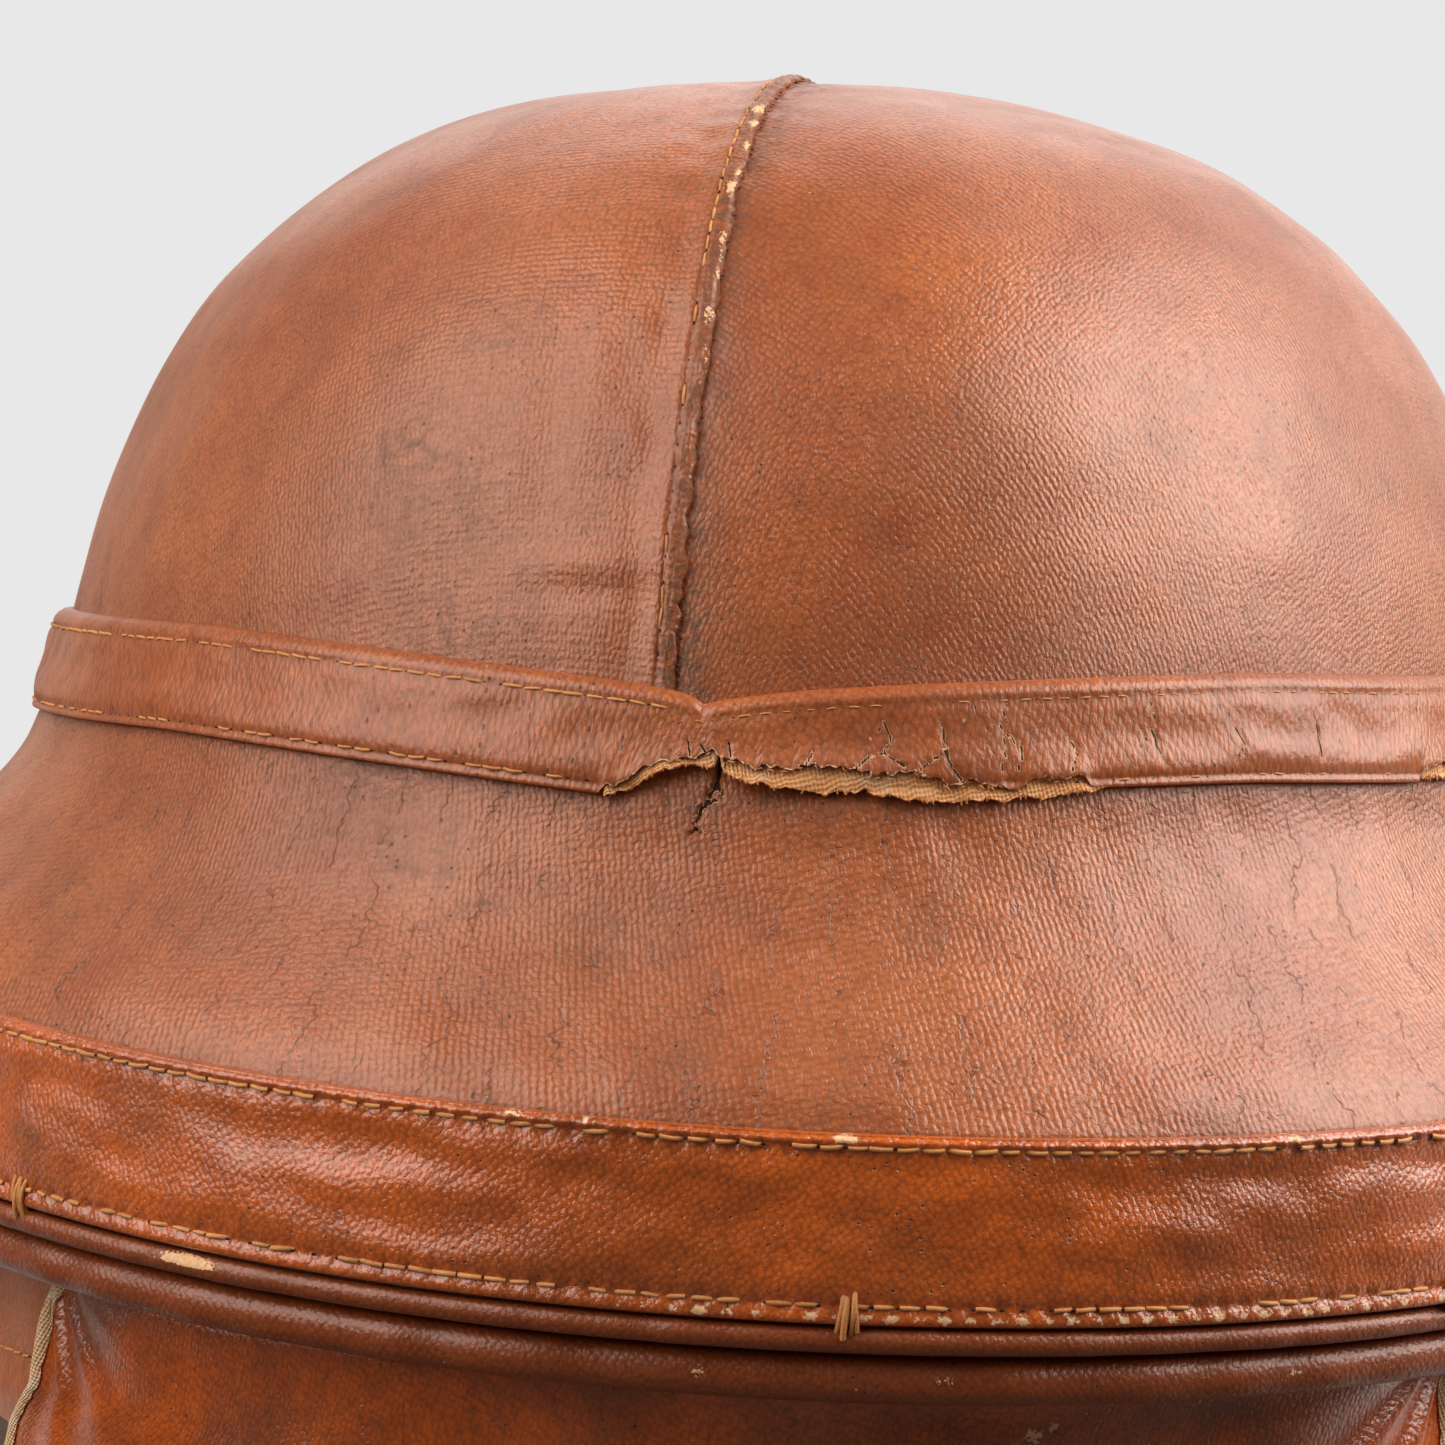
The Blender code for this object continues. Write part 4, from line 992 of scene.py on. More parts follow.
def grained(name, colour, other, rough, grain, depth, spread, metallic=0.0, coat=0.0):
    """A finish with its own fine grain, and a slow drift towards another colour."""
    made, g, shader, solid = started(name)
    fine = g.noise(solid, grain, 4, 0.65)
    slow = g.noise(solid, 18 * MM, 6, 0.65)
    drift = g.math("ADD", g.ramp(slow, 0.35, 0.7, 0, spread), g.ramp(fine, 0.5, 0.25, 0, spread))
    gloss = g.ramp(slow, 0.3, 0.7, rough - 0.06, rough + 0.08)
    body = g.mix(drift, colour, linear(other))
    dress(g, shader, body, gloss, fine, depth, {"Metallic": metallic, "Coat Weight": coat})
    return made


def make_finishes():
    """Every material of the helmet, each named for what it is."""
    f = finishes()
    satin, cloth = f.shine, (f.cloth, f.cloth_deep)
    FINISH.update(
        # The same satin coating on every piece, with the cloth laid another way under each
        crown_left=leathercloth("satin_leathercloth_left", *cloth, 96 * DEG, satin, 0.3),
        crown_right=leathercloth("satin_leathercloth_right", *cloth, 117 * DEG, satin - 0.02, 0.3),
        band=leathercloth("satin_leathercloth_band", *cloth, 60 * DEG, satin + 0.05, 0.05, grain=0.08 * MM),
        brim=leathercloth("satin_leathercloth_brim", *cloth, 12 * DEG, satin, 0.32, cracks=0.6),
        yoke=leathercloth("rubbed_leathercloth_yoke", *cloth, 40 * DEG, 0.44, 0.05, 0.05, grain=0.04 * MM),
        # A thicker, glossier coating
        hem=leathercloth("glossy_leathercloth_hem", f.gloss, f.gloss_deep, 35 * DEG, 0.22, 0.08, 0.7),
        roll=leathercloth(
            "glossy_leathercloth_roll", f.roll, f.roll, 50 * DEG, 0.34, 0.05, 0.12, grain=0.07 * MM
        ),
        curtain=leathercloth(
            "glossy_leathercloth_curtain", f.curtain, f.roll, 20 * DEG, 0.22, 0.1, 0.6, 0.4, 0.07 * MM
        ),
        torn=bare_canvas("torn_cotton_canvas", f.canvas, f.cream, 0.55 * MM),
        selvedge=bare_canvas("pale_canvas_selvedge", linear("ffdcb0"), linear("fff0d6"), 0.5 * MM),
        lining=sateen(),
        # Linen drawn through wax: a faint gloss, with its plies showing
        thread=grained("waxed_linen_thread", f.thread, "9a5526", 0.55, 0.35 * MM, 0.08 * MM, 0.5),
        hole=grained("needle_hole_shadow", linear("33170b"), "1e0d06", 0.9, 0.5 * MM, 0.02 * MM, 0.5),
        # Pressed wool: matt, with short fibres standing off it
        felt=grained("wool_felt", f.felt, "6d6558", 0.95, 0.6 * MM, 0.3 * MM, 0.5),
        # Bark-tanned leather: darkened and polished by handling
        hide=grained("vegetable_tanned_hide", f.hide, "4a2a17", 0.46, 0.8 * MM, 0.07 * MM, 0.6, coat=0.1),
        sweat=grained("sweatband_hide", linear("8a5a36"), "4e3120", 0.52, 0.7 * MM, 0.06 * MM, 0.7),
        # Drawn brass wire, lacquered: bright where it rubs, brown where the lacquer has gone
        brass=grained("dulled_brass", f.brass, "6b5130", 0.34, 1.2 * MM, 0.01 * MM, 0.5, 1.0),
        # Cork granules pressed in a mould: dry and speckled
        cork=grained("pressed_cork", f.cork, "5f4127", 0.9, 2.2 * MM, 0.4 * MM, 0.8),
    )


# Pieces

LAP_ACROSS = (
    (0, 0.7), (0.25, 0.8), (0.6, 0.95), (1.3, 1.0), (1.8, 0.95), (2.2, 0.62), (2.7, 0.75), (3.4, 0.6),
    (4.6, 0.28), (6.2, 0.0), (8, 0.0),
)
LAP_WEAR = (
    (0.8, 116.4, 1.3, 0.7, 0.95), (0.6, 114.4, 0.8, 0.7, 0.9), (0.4, 111.2, 0.6, 0.8, 0.85),
    (0.3, 107.6, 0.4, 1.3, 0.6), (0.9, 105.1, 1.0, 0.9, 1.0), (0.5, 99.1, 0.7, 1.5, 0.75),
    (0.2, 95.0, 0.3, 1.4, 0.6), (0.6, 88.8, 0.7, 1.1, 0.85), (0.2, 84.0, 0.3, 1.5, 0.6),
    (0.7, 81.0, 0.5, 0.8, 0.6), (0.2, 70.0, 0.25, 1.6, 0.55),
)
LEFT_ROWS = (
    0, 0.15, 0.3, 0.5, 0.75, 1.0, 1.3, 1.6, 1.85, 2.1, 2.3, 2.5, 2.8, 3.2, 3.7, 4.3, 5.0, 5.8, 6.7, 7.8,
)
RIGHT_ROWS = (2.0, 1.3, 0.7, 0.2, -0.4, -1.1, -1.9, -2.8)
CROWN_SMUDGES = (
    (36, 72, 16, 0.34), (24, 60, 15, 0.30), (10, 72, 8, 0.22), (-29, 73, 7, 0.28), (-40, 70, 12, 0.18),
    (-84, 75, 7, 0.25), (50, 62, 12, 0.28), (-12, 100, 9, 0.16), (30, 90, 10, 0.20),
)


def lap_out(across):
    """How far the left panel stands off the crown beside its raw edge."""
    return curve(LAP_ACROSS, np.clip(across, 0, 8 * MM) / MM) * MM


def crown_rows(across, count):
    """Rows of points where planes square to X cut the crown, evenly spaced from back to front."""
    half_width, half_length, _, _ = dome_axes()
    level = dome_share(COVER_JOIN_Z)
    turn = np.linspace(0, math.pi, 700)
    rows = []
    for x in across:
        wide = min(abs(x) / half_width, level)
        fine = half_length * math.sqrt(max(level ** 2 - wide ** 2, 0)) * np.cos(turn)
        line = np.stack([fine, dome_z(np.hypot(wide, fine / half_length))], -1)
        gone = gone_along(line)
        y = np.interp(np.linspace(0, gone[-1], count), gone, fine)
        z = dome_z(np.hypot(wide, y / half_length))
        rows.append(np.stack([np.full(count, x), y + lean(z), z], -1))
    return np.array(rows)


def crown_grime(points):
    """Darker along the band; painted shade and dirt beside the raw edge; dirt on the lap and in smudges."""
    x, y, z = np.moveaxis(points, -1, 0)
    # Painted shade with dirt on the right panel, beside the lap's raised edge.
    lap_shade_and_dirt = 0.6 * bump_at(x + 1.2 * MM, 2.6 * MM) * (x < 0.2 * MM)
    on_lap = 0.75 * bump_at(x - 1.0 * MM, 1.4 * MM)
    at_band = 0.42 * bump_at(z - 43 * MM, 9 * MM)
    return at_band + (lap_shade_and_dirt + on_lap) * (y > 0) + smudges(points, CROWN_SMUDGES)


def raw_edge(base):
    """The left panel along its raw edge: how far it stands out, how bare it is, and how ragged."""
    x, y, _ = np.moveaxis(base, -1, 0)
    stands = lap_out(x) + 0.13 * MM * ripple(base, 0.8 * MM, 13) * bump_at(x - 1 * MM, 1.5 * MM)
    bare = 0.34 * bump_at(x - 0.4 * MM, 1.1 * MM) * (y > 0) + 0.85 * spread_marks(base, LAP_WEAR)
    jag = 0.22 * MM * ripple(base, 1.5 * MM, 11) + 0.18 * MM * ripple(base, 5 * MM, 12)
    return stands, bare, jag * np.exp(-x / (0.7 * MM))


def crown_panel(name, side, first_rows, finish, node):
    """One half of the crown's cover; the left one laps over the right one."""
    edge = dome_axes()[0] * dome_share(COVER_JOIN_Z)
    first = np.array(first_rows) * MM
    swing = np.linspace(math.asin(abs(first[-1]) / edge), math.pi / 2, 108)[1:]
    base = crown_rows(np.concatenate([first, side * edge * np.sin(swing) * (1 - TINY)]), 290)
    stands, bare, jag = raw_edge(base) if side > 0 else np.zeros((3, *base.shape[:2]))
    out = crown_relief(base) + stands
    normal = dome_normal(base)
    outer, inner = (base + normal * (out - depth)[..., None] for depth in (0, sizes().cover))
    grid = np.concatenate([outer, inner[::-1]])
    grid[..., 0] += np.concatenate([jag, jag[::-1]])
    cloth = dome_cloth(base)
    panel = skin(
        name, grid, finish, wrap=False, cloth=np.concatenate([cloth, cloth[::-1]]),
        grime=crown_grime(base), bare=bare,
    )
    fit(panel, "helmet", "leathercloth", node)


def seam_line(across):
    """A line over the crown from the back of the hat band to its front, beside the lap's raw edge."""
    base = crown_rows([across], 900)[0]
    normal = dome_normal(base)
    line = base + normal * (crown_relief(base) + lap_out(base[:, 0]))[:, None]
    inside = line[:, 2] > BAND_TOP_Z - 3.5 * MM
    return line[inside], normal[inside]


def crown_stitches():
    """The seam's two rows of stitches and the whiskers of cloth along the raw edge."""
    pitch = sizes().seam_pitch
    rng = np.random.default_rng(51)
    places = places_on(*seam_line(2.2 * MM), pitch, 52, 0.08)
    chance = np.where(places[0][:, 2] > 96 * MM, 0.85, 0.30)
    sewn("seam_stitches", places, 0.75, 52, pitch, rng.random(len(chance)) < chance)
    line, out = seam_line(0.0)
    tufts = places_on(line, out, 0.34 * MM, 54, 0.5)
    count = len(tufts[0])
    phase = gone_along(line)[-1] / count * np.arange(count) / pitch % 1
    tufts = chosen(tufts, rng.random(count) < 0.35 + 0.6 * (np.abs(phase - 0.5) < 0.18))
    count = len(tufts[0])
    way = np.stack([np.full(count, -1.0), rng.normal(0, 0.5, count), rng.normal(-0.15, 0.5, count)], -1)
    tufts[0] = tufts[0] - tufts[2] * rng.uniform(0.3, 1.0, (count, 1)) * MM
    tufts[1] = unit(way - tufts[2] * (way * tufts[2]).sum(-1, keepdims=True))
    tufts[3] = rng.uniform(0.35, 1.1, count)
    for name, finish, first in (("edge_whiskers", "roll", 0), ("edge_lint", "hole", 1)):
        strands(
            name, chosen(tufts, slice(first, None, 2)), FINISH[finish],
            diameter=0.15 * MM, seed=55, loose_turn=0.4,
            start=(0, 0, 0), middle=(0.3 * MM, 0, 0.1 * MM), end=(0.5 * MM, 0.1 * MM, -0.1 * MM),
        )


BAND_CRACKS = (
    (((108.0, 4.0), (108.2, 6.5), (108.5, 9.6), (109.3, 11.6)), 0.22),
    (((108.3, 8.2), (107.2, 9.3), (106.6, 10.2)), 0.22),
    (((104.1, 4.2), (104.7, 6.3), (104.2, 7.9), (103.2, 8.4), (102.4, 9.6)), 0.24),
    (((104.2, 7.9), (105.6, 9.8)), 0.2),
    (((112.5, 2.6), (112.1, 5.5), (112.4, 8.0), (112.0, 10.8)), 0.20),
    (((112.1, 5.5), (113.6, 8.4), (113.2, 10.6)), 0.22),
    (((123.0, 3.0), (123.4, 6.0), (123.2, 8.5), (123.9, 11.0)), 0.20),
    (((123.4, 6.0), (121.8, 8.8)), 0.2),
    (((136.7, 4.8), (137.0, 8.0), (136.8, 10.6)), 0.26),
    (((129.6, 6.5), (130.2, 8.4), (129.4, 10.9)), 0.2),
    (((92.2, 5.0), (92.6, 6.2), (92.3, 7.4)), 0.2),
    (((91.3, 5.3), (91.5, 6.9)), 0.2),
    (((94.0, 5.2), (94.2, 7.0)), 0.2),
    (((117.0, 7.5), (117.4, 9.2), (116.9, 11.0)), 0.22),
    (((99.6, 7.2), (99.1, 8.9)), 0.2),
)
BAND_SOLID = ((0, 0.15), (5.6, 0.5), (13.6, 2.2))
BAND_INNER_ROWS = (1.0, 0.9, 0.75, 0.5, 0.25, 0.03)
BAND_SEAMS = (("band_top", BAND_STITCH_TOP, 61, 0.88, 0.75), ("band_low", BAND_STITCH_LOW, 62, 0.62, 0.35))


def band_inside(angle, full, torn):
    """The band's back, on its solid, and close behind the coating where that is torn."""
    down = np.array(BAND_INNER_ROWS)[:, None] * full
    z = BAND_TOP_Z - band_dip(angle) - down
    solid = table_line(BAND_SOLID, down / MM) * MM
    thin = np.maximum(curve(BAND_EDGE, down / MM) * MM - 0.45 * MM, 0.1 * MM)
    near_tear = torn * bump_at(down - full, 3.5 * MM)
    return ring(angle, dome_out(angle, z) + solid + (thin - solid) * near_tear, z)


def hat_band():
    """The hat band's coating, with its torn lower edge and its cracks."""
    angle = directions(1300)
    tear = band_tear(angle)
    full = band_full(angle) - tear
    torn = smooth_step(tear, 0.1 * MM, 1.0 * MM)
    down = np.array(BAND_ROWS)[:, None] / BAND_ROWS[-1] * full
    crack = torn_open(angle, down, BAND_CRACKS)
    curl = torn * 0.35 * MM * bump_at(down - full, 1.6 * MM) - 0.25 * MM * crack
    outer = band_face(angle, down) + unit(ring(angle, 0, 0)) * curl[..., None]
    at_edge = bump_at(down - full, 0.5 * MM) * torn
    grime = 0.3 * bump_at(down - BAND_STITCH_TOP, 0.5 * MM) + 0.25 * bump_at(down - BAND_STITCH_LOW, 0.5 * MM)
    band = skin(
        "hat_band_cloth", np.concatenate([outer, band_inside(angle, full, torn)]), FINISH["band"],
        grime=grime + 0.2 * at_edge, bare=0.75 * at_edge, split=crack,
    )
    fit(band, "helmet", "leathercloth", "hat_band")


def band_stitches():
    """The band's two rows of stitches, gone where the band is torn and rubbed on the right."""
    s = sizes()
    fine = once_round(4000)
    for name, down, seed, left_chance, right_chance in BAND_SEAMS:
        places = places_round(band_face, 4000, down, s.band_pitch, seed, 0.08)
        at = np.arctan2(places[0][:, 1] / s.half_length, places[0][:, 0] / s.half_width) % (2 * math.pi)
        held = (np.interp(at, fine, band_tear(fine)) < 0.9 * MM) | (down == BAND_STITCH_TOP)
        rng = np.random.default_rng(seed)
        chance = np.where((at > 91 * DEG) & (at < 200 * DEG), right_chance, left_chance)
        keep = (rng.random(len(at)) < chance)[held]
        places = chosen(places, held)
        rubbed = (places[0][:, 0] < 0) & (places[0][:, 1] > 0)
        places[3] = np.where(rubbed, rng.uniform(0.4, 0.7, len(rubbed)), 1.0)
        sewn(name, places, 0.75, seed, s.band_pitch, keep)


def torn_canvas(name, rise_table, seed):
    """The canvas that hangs out where the band's coating has torn away."""
    start, end = rise_table[0][0], rise_table[-1][0]
    angle = np.linspace(start, end, int((end - start) / 0.11)) * DEG
    full = band_full(angle)
    line = ring(angle, 0, 0)
    fray = 0.12 * MM * ripple(line, 0.9 * MM, seed) + 0.22 * MM * ripple(line, 3.4 * MM, seed + 1)
    low = full - table_line(rise_table, angle / DEG) * MM + fray
    high = np.minimum(full - band_tear(angle) - 1.6 * MM, low - 0.8 * MM)
    share = np.linspace(0, 1, 26)[:, None]
    down = high + (low - high) * share
    z = BAND_TOP_Z - band_dip(angle) - down
    out = curve(BAND_EDGE, np.minimum(down / MM, 12.9)) * MM + (0.7 * share - 0.62) * MM
    wave = 0.20 * MM * ripple(ring(angle, out, z), 5 * MM, seed + 2) * share
    outer = ring(angle, dome_out(angle, z) + out + wave, z)
    # Painted shade just below the coating's torn edge, where the canvas comes out from under it.
    dark = 0.8 * bump_at(down - high - 1.4 * MM, 0.6 * MM)
    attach(skin(name, shell(outer, 0.35 * MM, wrap=False), FINISH["torn"], wrap=False, grime=dark), "helmet")
    rng = np.random.default_rng(seed + 3)
    places = places_on(outer[-1], outer[-1] * (1, 1, 0), 0.28 * MM, seed, 0.5)
    count = len(places[0])
    hang = np.stack([rng.normal(0, 0.25, count), rng.normal(0, 0.1, count), np.full(count, -1.0)], -1)
    places[1] = unit(hang)
    places[3] = rng.uniform(0.4, 1.15, count)
    strands(
        name + "_threads", chosen(places, rng.random(count) < 0.3), FINISH["torn"],
        diameter=0.16 * MM, seed=seed, loose_turn=0.35,
        start=(-0.5 * MM, 0, 0), middle=(0, 0, 0.12 * MM), end=(0.4 * MM, 0.05 * MM, 0.05 * MM),
    )


def tear_edge_threads():
    """Broken thread loops along the edge where the coating tore off its stitches."""
    angle = np.linspace(88.0, 117.5, 500) * DEG
    down = band_full(angle) - band_tear(angle) + 0.25 * MM
    line = band_face(angle, down) + unit(ring(angle, 0, 0)) * 0.12 * MM
    places = places_on(line, ring(angle, 0, 0), 0.95 * MM, 63, 0.25)
    rng = np.random.default_rng(64)
    count = len(places[0])
    places[3] = rng.uniform(0.5, 1.1, count)
    strands(
        "tear_edge_threads", chosen(places, rng.random(count) < 0.6), FINISH["selvedge"],
        diameter=0.26 * MM, seed=65, loose_turn=0.55,
        start=(-0.4 * MM, 0.1 * MM, -0.2 * MM), middle=(0, 0, 0.3 * MM),
        end=(0.4 * MM, -0.25 * MM, -0.2 * MM),
    )


BRIM_SMUDGES = (
    (47, 25, 7, 0.45), (36, 27, 8, 0.35), (6, 12, 5, 0.30), (5, 14, 9, 0.18), (60, 20, 10, 0.25),
    (-14, 6, 18, 0.24), (14, 4, 15, 0.16), (-34, 3, 12, 0.14), (20, 20, 9, 0.20), (-33, 16, 3, 0.35),
    (78, 12, 9, 0.2), (-66, 8, 6, 0.2), (30, 8, 12, 0.18),
)


def brim_cover():
    """The brim's cover, with the split below the hat band."""
    angle = directions(940)
    share = np.concatenate([
        np.linspace(-1, 0, 14)[:-1], np.linspace(0, 0.20, 22)[:-1],
        np.linspace(0.20, 1, 48), [1.25, 1.6, 2.0],
    ])[:, None]
    outer = brim_face(angle, share)
    z = outer[..., 2]
    # Painted shade with dirt under the hat band's proud lower edge, darker where the brim meets the hem, and
    # dirt round the split.
    grime = 0.5 * bump_at(share + 0.02, 0.10) + 0.30 * bump_at(share - 1.0, 0.07)
    grime = grime + 0.5 * bump_at(angle - 92.2 * DEG, 1.6 * DEG) * bump_at(z - 28 * MM, 5 * MM)
    brim = skin(
        "brim_leathercloth", shell(outer, sizes().cover, every=7), FINISH["brim"],
        grime=grime + smudges(outer, BRIM_SMUDGES), split=torn_open(angle, z, SPLIT),
    )
    fit(brim, "helmet", "leathercloth", "brim_cover")
    split_threads()


def split_threads():
    """Torn canvas threads that bridge the split in the brim's cover."""
    count = 24
    rng = np.random.default_rng(71)
    line = np.array([point for points, _ in SPLIT[:4] for point in points][1:])
    at, z = (
        np.interp(rng.uniform(0, len(line) - 1, count), np.arange(len(line)), column) for column in line.T
    )
    angle = (at + rng.normal(0, 0.09, count)) * DEG
    shares = np.linspace(-1, 0.4, 400)
    heights = brim_face(np.full(400, 92.5 * DEG), shares)[:, 2]
    share = np.interp(z * MM, heights[::-1], shares[::-1])
    out = unit(ring(angle, 0, 0))
    where = brim_face(angle, share) + out * 0.35 * MM
    along = np.stack([rng.normal(1, 0.3, count), rng.normal(0, 0.2, count), rng.normal(0.5, 0.8, count)], -1)
    strands(
        "split_threads", [where, unit(along), out, rng.uniform(0.3, 0.7, count)], FINISH["torn"],
        diameter=0.13 * MM, seed=72, loose_turn=0.5,
        start=(-0.5 * MM, 0, -0.2 * MM), middle=(0, 0, 0.2 * MM), end=(0.5 * MM, 0, -0.2 * MM),
    )


HEM_WORN_SPOTS = ((84.6, 0.5, 0.5), (88.4, 0.5, 0.35), (101.6, 0.6, 0.9), (126.0, 0.4, 0.5))
HEM_SMUDGES = ((54.5, 14, 3.0, 0.8), (57, 12, 3.0, 0.35), (94.7, 18, 4, 0.3), (103, 13, 7, 0.25))
HEM_SEAMS = (("hem_top", HEM_STITCH_TOP, 0.88, 82), ("hem_low", HEM_STITCH_LOW, 0.80, 83))
HEM_INNER_ROWS = (0, 4, 12, 24, 34, 40)


def hem_bare(angle, down):
    """Where the hem's coating is rubbed through, along its lower edge and in a few spots."""
    s = sizes()
    degrees = angle / DEG
    tick = 0.5 + 0.5 * np.cos(2 * math.pi * ring_arc(angle, s.brim_reach) / s.hem_pitch)
    worn_side = smooth_step(degrees, 86, 96) * smooth_step(160 - degrees, 0, 10)
    worn_side = worn_side * (0.8 + 0.3 * ripple(ring(angle, s.brim_reach, 0), 6 * MM, 44))
    bare = bump_at(down - 21.6 * MM, 0.75 * MM) * (0.35 + 0.5 * tick) * worn_side
    bare = bare + bump_at(down - 21.4 * MM, 0.6 * MM) * 0.5 * tick
    for at, at_down, amount in HEM_WORN_SPOTS:
        bare = bare + (0.5 + amount) * bump_at(degrees - at, 0.8) * bump_at(down - at_down * MM, 0.7 * MM)
    return bare


def hem_grime(angle, down):
    """Grime along the hem's two rows of stitches and in a few smudges."""
    grime = 0.2 * (bump_at(down - HEM_STITCH_TOP, 0.6 * MM) + bump_at(down - HEM_STITCH_LOW, 0.6 * MM))
    for at, at_down, reach, depth in HEM_SMUDGES:
        grime = grime + depth * bump_at(np.hypot((angle / DEG - at) * 2.5, down / MM - at_down), reach)
    return grime


def hem():
    """The hem round the brim's edge, with its two rows of heavy stitches and its bar tacks."""
    s = sizes()
    angle = directions(1300)
    down = np.array(HEM_ROWS)[:, None] * MM * s.hem_height / HEM_DRAWN
    inner = ring(angle, s.brim_reach + GAP, hem_top_z(angle) - down[::-1][list(HEM_INNER_ROWS)])
    piece = skin(
        "hem_leathercloth", np.concatenate([hem_face(angle, down), inner]), FINISH["hem"],
        grime=hem_grime(angle, down), bare=hem_bare(angle, down),
    )
    fit(piece, "helmet", "glossy_leathercloth", "hem_band")
    rng = np.random.default_rng(81)
    for name, at, chance, seed in HEM_SEAMS:
        places = places_round(hem_face, 5000, at, s.hem_pitch, seed, 0.07)
        keep = rng.random(len(places[0])) < chance
        sewn(name, places, 1.15, seed, s.hem_pitch, keep, sunk=0.05 * MM)
    bar_tacks()


TACK_ANGLES = (102.15, 53.6, 137.3, 20.0, 160.0, 200.0, 340.0, 270.0)


def bar_tacks():
    """Bars of thick thread over the hem's lower edge, where it is tacked to the roll below."""
    rng = np.random.default_rng(84)
    rows = []
    for at in TACK_ANGLES:
        for strand in range(5):
            angle = np.array([(at + (strand - 2) * 0.17 + rng.normal(0, 0.04)) * DEG])
            where = hem_face(angle, np.array([20.6 * MM]))
            rows.append((where[0], out_of(hem_face, angle, np.array([19 * MM]))[0]))
    where, out = (np.array(part) for part in zip(*rows))
    down = np.tile((0, 0, -1.0), (len(where), 1)) + rng.normal(0, 0.08, (len(where), 3))
    strands(
        "bar_tacks", [where + out * 0.25 * MM, unit(down), out, rng.uniform(0.8, 1.1, len(where))],
        FINISH["thread"], diameter=0.62 * MM, seed=85, loose_turn=0.12,
        start=(-2.0 * MM, 0, -0.4 * MM), middle=(0.3 * MM, 0, 1.1 * MM), end=(2.9 * MM, 0, -0.5 * MM),
    )


def bead(angle, out, z, width, height, turns):
    """Rows of points round a bead's section."""
    return np.stack([
        ring(angle, out + width / 2 * math.cos(turn), z + height / 2 * math.sin(turn)) for turn in turns
    ])


def binding():
    """The thin roll under the hem."""
    angle = directions(900)
    out = sizes().brim_reach + HEM_STAND - BINDING_WIDTH / 2
    z = hem_bottom_z(angle) - GAP - BINDING_HEIGHT / 2
    turns = np.linspace(0, 2 * math.pi, 21)[:-1]
    base = ring(angle, out, z)
    swell = 0.12 * MM * ripple(base, 6 * MM, 91) + 0.15 * MM * ripple(base, 22 * MM, 92)
    grid = bead(angle, out + swell, z, BINDING_WIDTH, BINDING_HEIGHT, turns)
    degrees, turn = angle / DEG, turns[:, None]
    right = smooth_step(degrees, 92, 105) * smooth_step(150 - degrees, 0, 20)
    bare = 1.5 * bump_at(degrees - 66.0, 2.3) * bump_at(turn - 0.2, 0.9)
    bare = bare + 0.35 * right * bump_at(turn - 0.9, 0.5)
    # Painted shade along the bead's top, under the hem; the whole bead is also a little darker.
    roll = skin("binding_roll", grid, FINISH["roll"], grime=0.55 * bump_at(turn - 1.7, 0.7) + 0.15, bare=bare)
    fit(roll, "helmet", "glossy_leathercloth", "hem_binding")


FACING_WORN_SPOTS = (94.6, 107.3, 127.3)


def facing_line(angle):
    """The inner and outer ends of the line under the brim that its facing follows."""
    foot = dome_out(angle, CORK_BOTTOM_Z, 1.2 * MM), CORK_BOTTOM_Z - HANG_GAP + 0 * angle
    corner_out = sizes().brim_reach - sizes().cover - GAP
    corner_z = hem_bottom_z(angle) + sizes().cover
    centre_out = sizes().brim_reach + HEM_STAND - ROLL_INSET
    turn = centre_out - ROLL_WIDTH / 4
    share = (turn - foot[0]) / (corner_out - foot[0])
    turn_z = CORK_BOTTOM_Z + (corner_z - CORK_BOTTOM_Z) * share - HANG_GAP - FACING_THICKNESS / 2
    return foot, (turn + 0 * angle, turn_z)


def under_brim_z(angle, out):
    """Where a panel that hangs under the brim meets its facing."""
    (foot_out, foot_z), (turn_out, turn_z) = facing_line(angle)
    slope = (turn_z - foot_z) / (turn_out - foot_out)
    return foot_z + slope * (out - foot_out) - FACING_THICKNESS * np.hypot(1, slope) - HANG_GAP


def facing_section(angle):
    """Rows of points round the facing's section: out over the cord at its edge, and back below."""
    (foot_out, foot_z), (turn_out, turn_z) = facing_line(angle)
    shell_out = dome_out(angle, CORK_BOTTOM_Z, CORK_INSIDE)
    slope = (turn_z - foot_z) / (turn_out - foot_out)
    centre_out = sizes().brim_reach + HEM_STAND - ROLL_INSET
    centre_z = hem_bottom_z(angle) - GAP - BINDING_HEIGHT - GAP - ROLL_HEIGHT / 2
    ends = (shell_out, CORK_BOTTOM_Z - GAP), (foot_out, foot_z), (turn_out, turn_z)
    above = [ring(angle, out, z) for out, z in ends]
    swell = 0.22 * MM * ripple(ring(angle, centre_out, centre_z), 11 * MM, 93)
    turns = np.linspace(110, -160, 26) * DEG
    round_cord = bead(angle, centre_out + swell, centre_z, ROLL_WIDTH, ROLL_HEIGHT, turns)
    below = []
    for share in np.linspace(0.96, 0.02, 24):
        out = foot_out + (turn_out - foot_out) * share
        row = ring(angle, out, foot_z + slope * (out - foot_out) - FACING_THICKNESS * np.hypot(1, slope))
        row[..., 2] += 0.25 * MM * ripple(row, 12 * MM, 94) * share * (1 - share) * 4
        below.append(row)
    below.append(ring(angle, shell_out, CORK_BOTTOM_Z - GAP - FACING_THICKNESS))
    return np.concatenate([above, round_cord, below])


